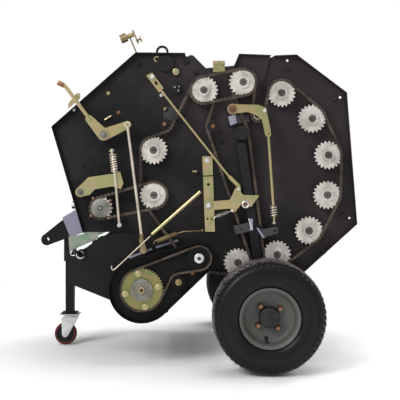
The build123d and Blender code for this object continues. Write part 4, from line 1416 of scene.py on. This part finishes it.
@dataclass
class Studio:
    """Pale floor, even lamps and the camera at the photograph's place."""

    eye: Point = (-0.004, -3.627, 0.746)
    lens: float = 71.8
    shift: Flat = (0.025, -0.05)
    ambient: float = 0.55
    floor_size: float = 30

    def backdrop(self) -> None:
        """A floor whose colour turns to white away from the machine."""
        shader = Shader("floor_pale")
        x, y, _ = shader.split(shader.place())
        away = ((x * x + y * y) ** 0.5).ramp(0.7, 2.4)
        shader.feed(Base_Color=(0.9, 0.9, 0.9), Roughness=0.9, Specular_IOR_Level=0.1)
        lit = Wire(shader, shader.surface.outputs[0])
        white = shader.wire("ShaderNodeEmission", None, {"Strength": 1.0})
        shader.show(shader.wire("ShaderNodeMixShader", None, {0: away, 1: lit, 2: white}))
        mesh = bmesh.new()
        bmesh.ops.create_grid(mesh, x_segments=2, y_segments=2, size=self.floor_size)
        data = bpy.data.meshes.new("floor")
        mesh.to_mesh(data)
        mesh.free()
        data.materials.append(shader.material)
        floor = bpy.data.objects.new("floor", data)
        floor.location = (0, 0, -0.0005)
        bpy.context.scene.collection.objects.link(floor)

    def world(self) -> None:
        """Even light from all round, with a white background for the camera and for gloss."""
        world = bpy.data.worlds.new("studio")
        bpy.context.scene.world = world
        world.use_nodes = True
        graph = Graph(world.node_tree)
        light, seen = (graph.wire("ShaderNodeBackground", None, {"Color": WHITE, "Strength": strength})
                       for strength in (self.ambient, 1.0))
        camera = graph.wire("ShaderNodeLightPath", output="Is Camera Ray")
        shown = graph.wire("ShaderNodeMixShader", None, {0: camera, 1: light, 2: seen})
        graph.node("ShaderNodeOutputWorld", None, {0: shown})

    def lamp(self, name: str, place: Point, target: Point, size: float, power: float) -> None:
        """One soft square lamp.

        Args:
            name: Its name.
            place: Where it is, in metres.
            target: What it points at.
            size: Its side, in metres.
            power: Its power, in watts.
        """
        data = bpy.data.lights.new(name, "AREA")
        data.size = size
        data.energy = power
        lamp = bpy.data.objects.new(name, data)
        lamp.location = place
        lamp.rotation_euler = (Vector(target) - Vector(place)).to_track_quat("-Z", "Y").to_euler()
        bpy.context.scene.collection.objects.link(lamp)

    def build(self) -> None:
        """Sets the floor, the light and the camera."""
        self.backdrop()
        self.world()
        self.lamp("key_lamp", (-2.6, -3.4, 3.4), (0, 0, 0.7), 2.2, 150)
        self.lamp("top_lamp", (0.6, 0.4, 4.2), (0, 0, 0.6), 3.0, 110)
        self.lamp("rear_lamp", (3.2, 2.6, 2.6), (0, 0, 0.7), 2.0, 90)
        data = bpy.data.cameras.new("camera")
        data.lens = self.lens
        data.shift_x, data.shift_y = self.shift
        camera = bpy.data.objects.new("camera", data)
        camera.location = self.eye
        camera.rotation_euler = (math.pi / 2, 0, 0)
        bpy.context.scene.collection.objects.link(camera)
        bpy.context.scene.camera = camera
        bpy.context.scene.view_settings.view_transform = "Standard"


def main() -> None:
    """Builds the scene piece by piece."""
    logging.basicConfig(level=logging.INFO, format="%(message)s")
    Studio().build()
    Dressing().build()
    ChainDrive().build()
    for side in Side:
        RoadWheel(side).build()
    Springs().build()
    Castor().build()
    Fasteners().build()
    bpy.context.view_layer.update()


if __name__ == "__main__":
    main()
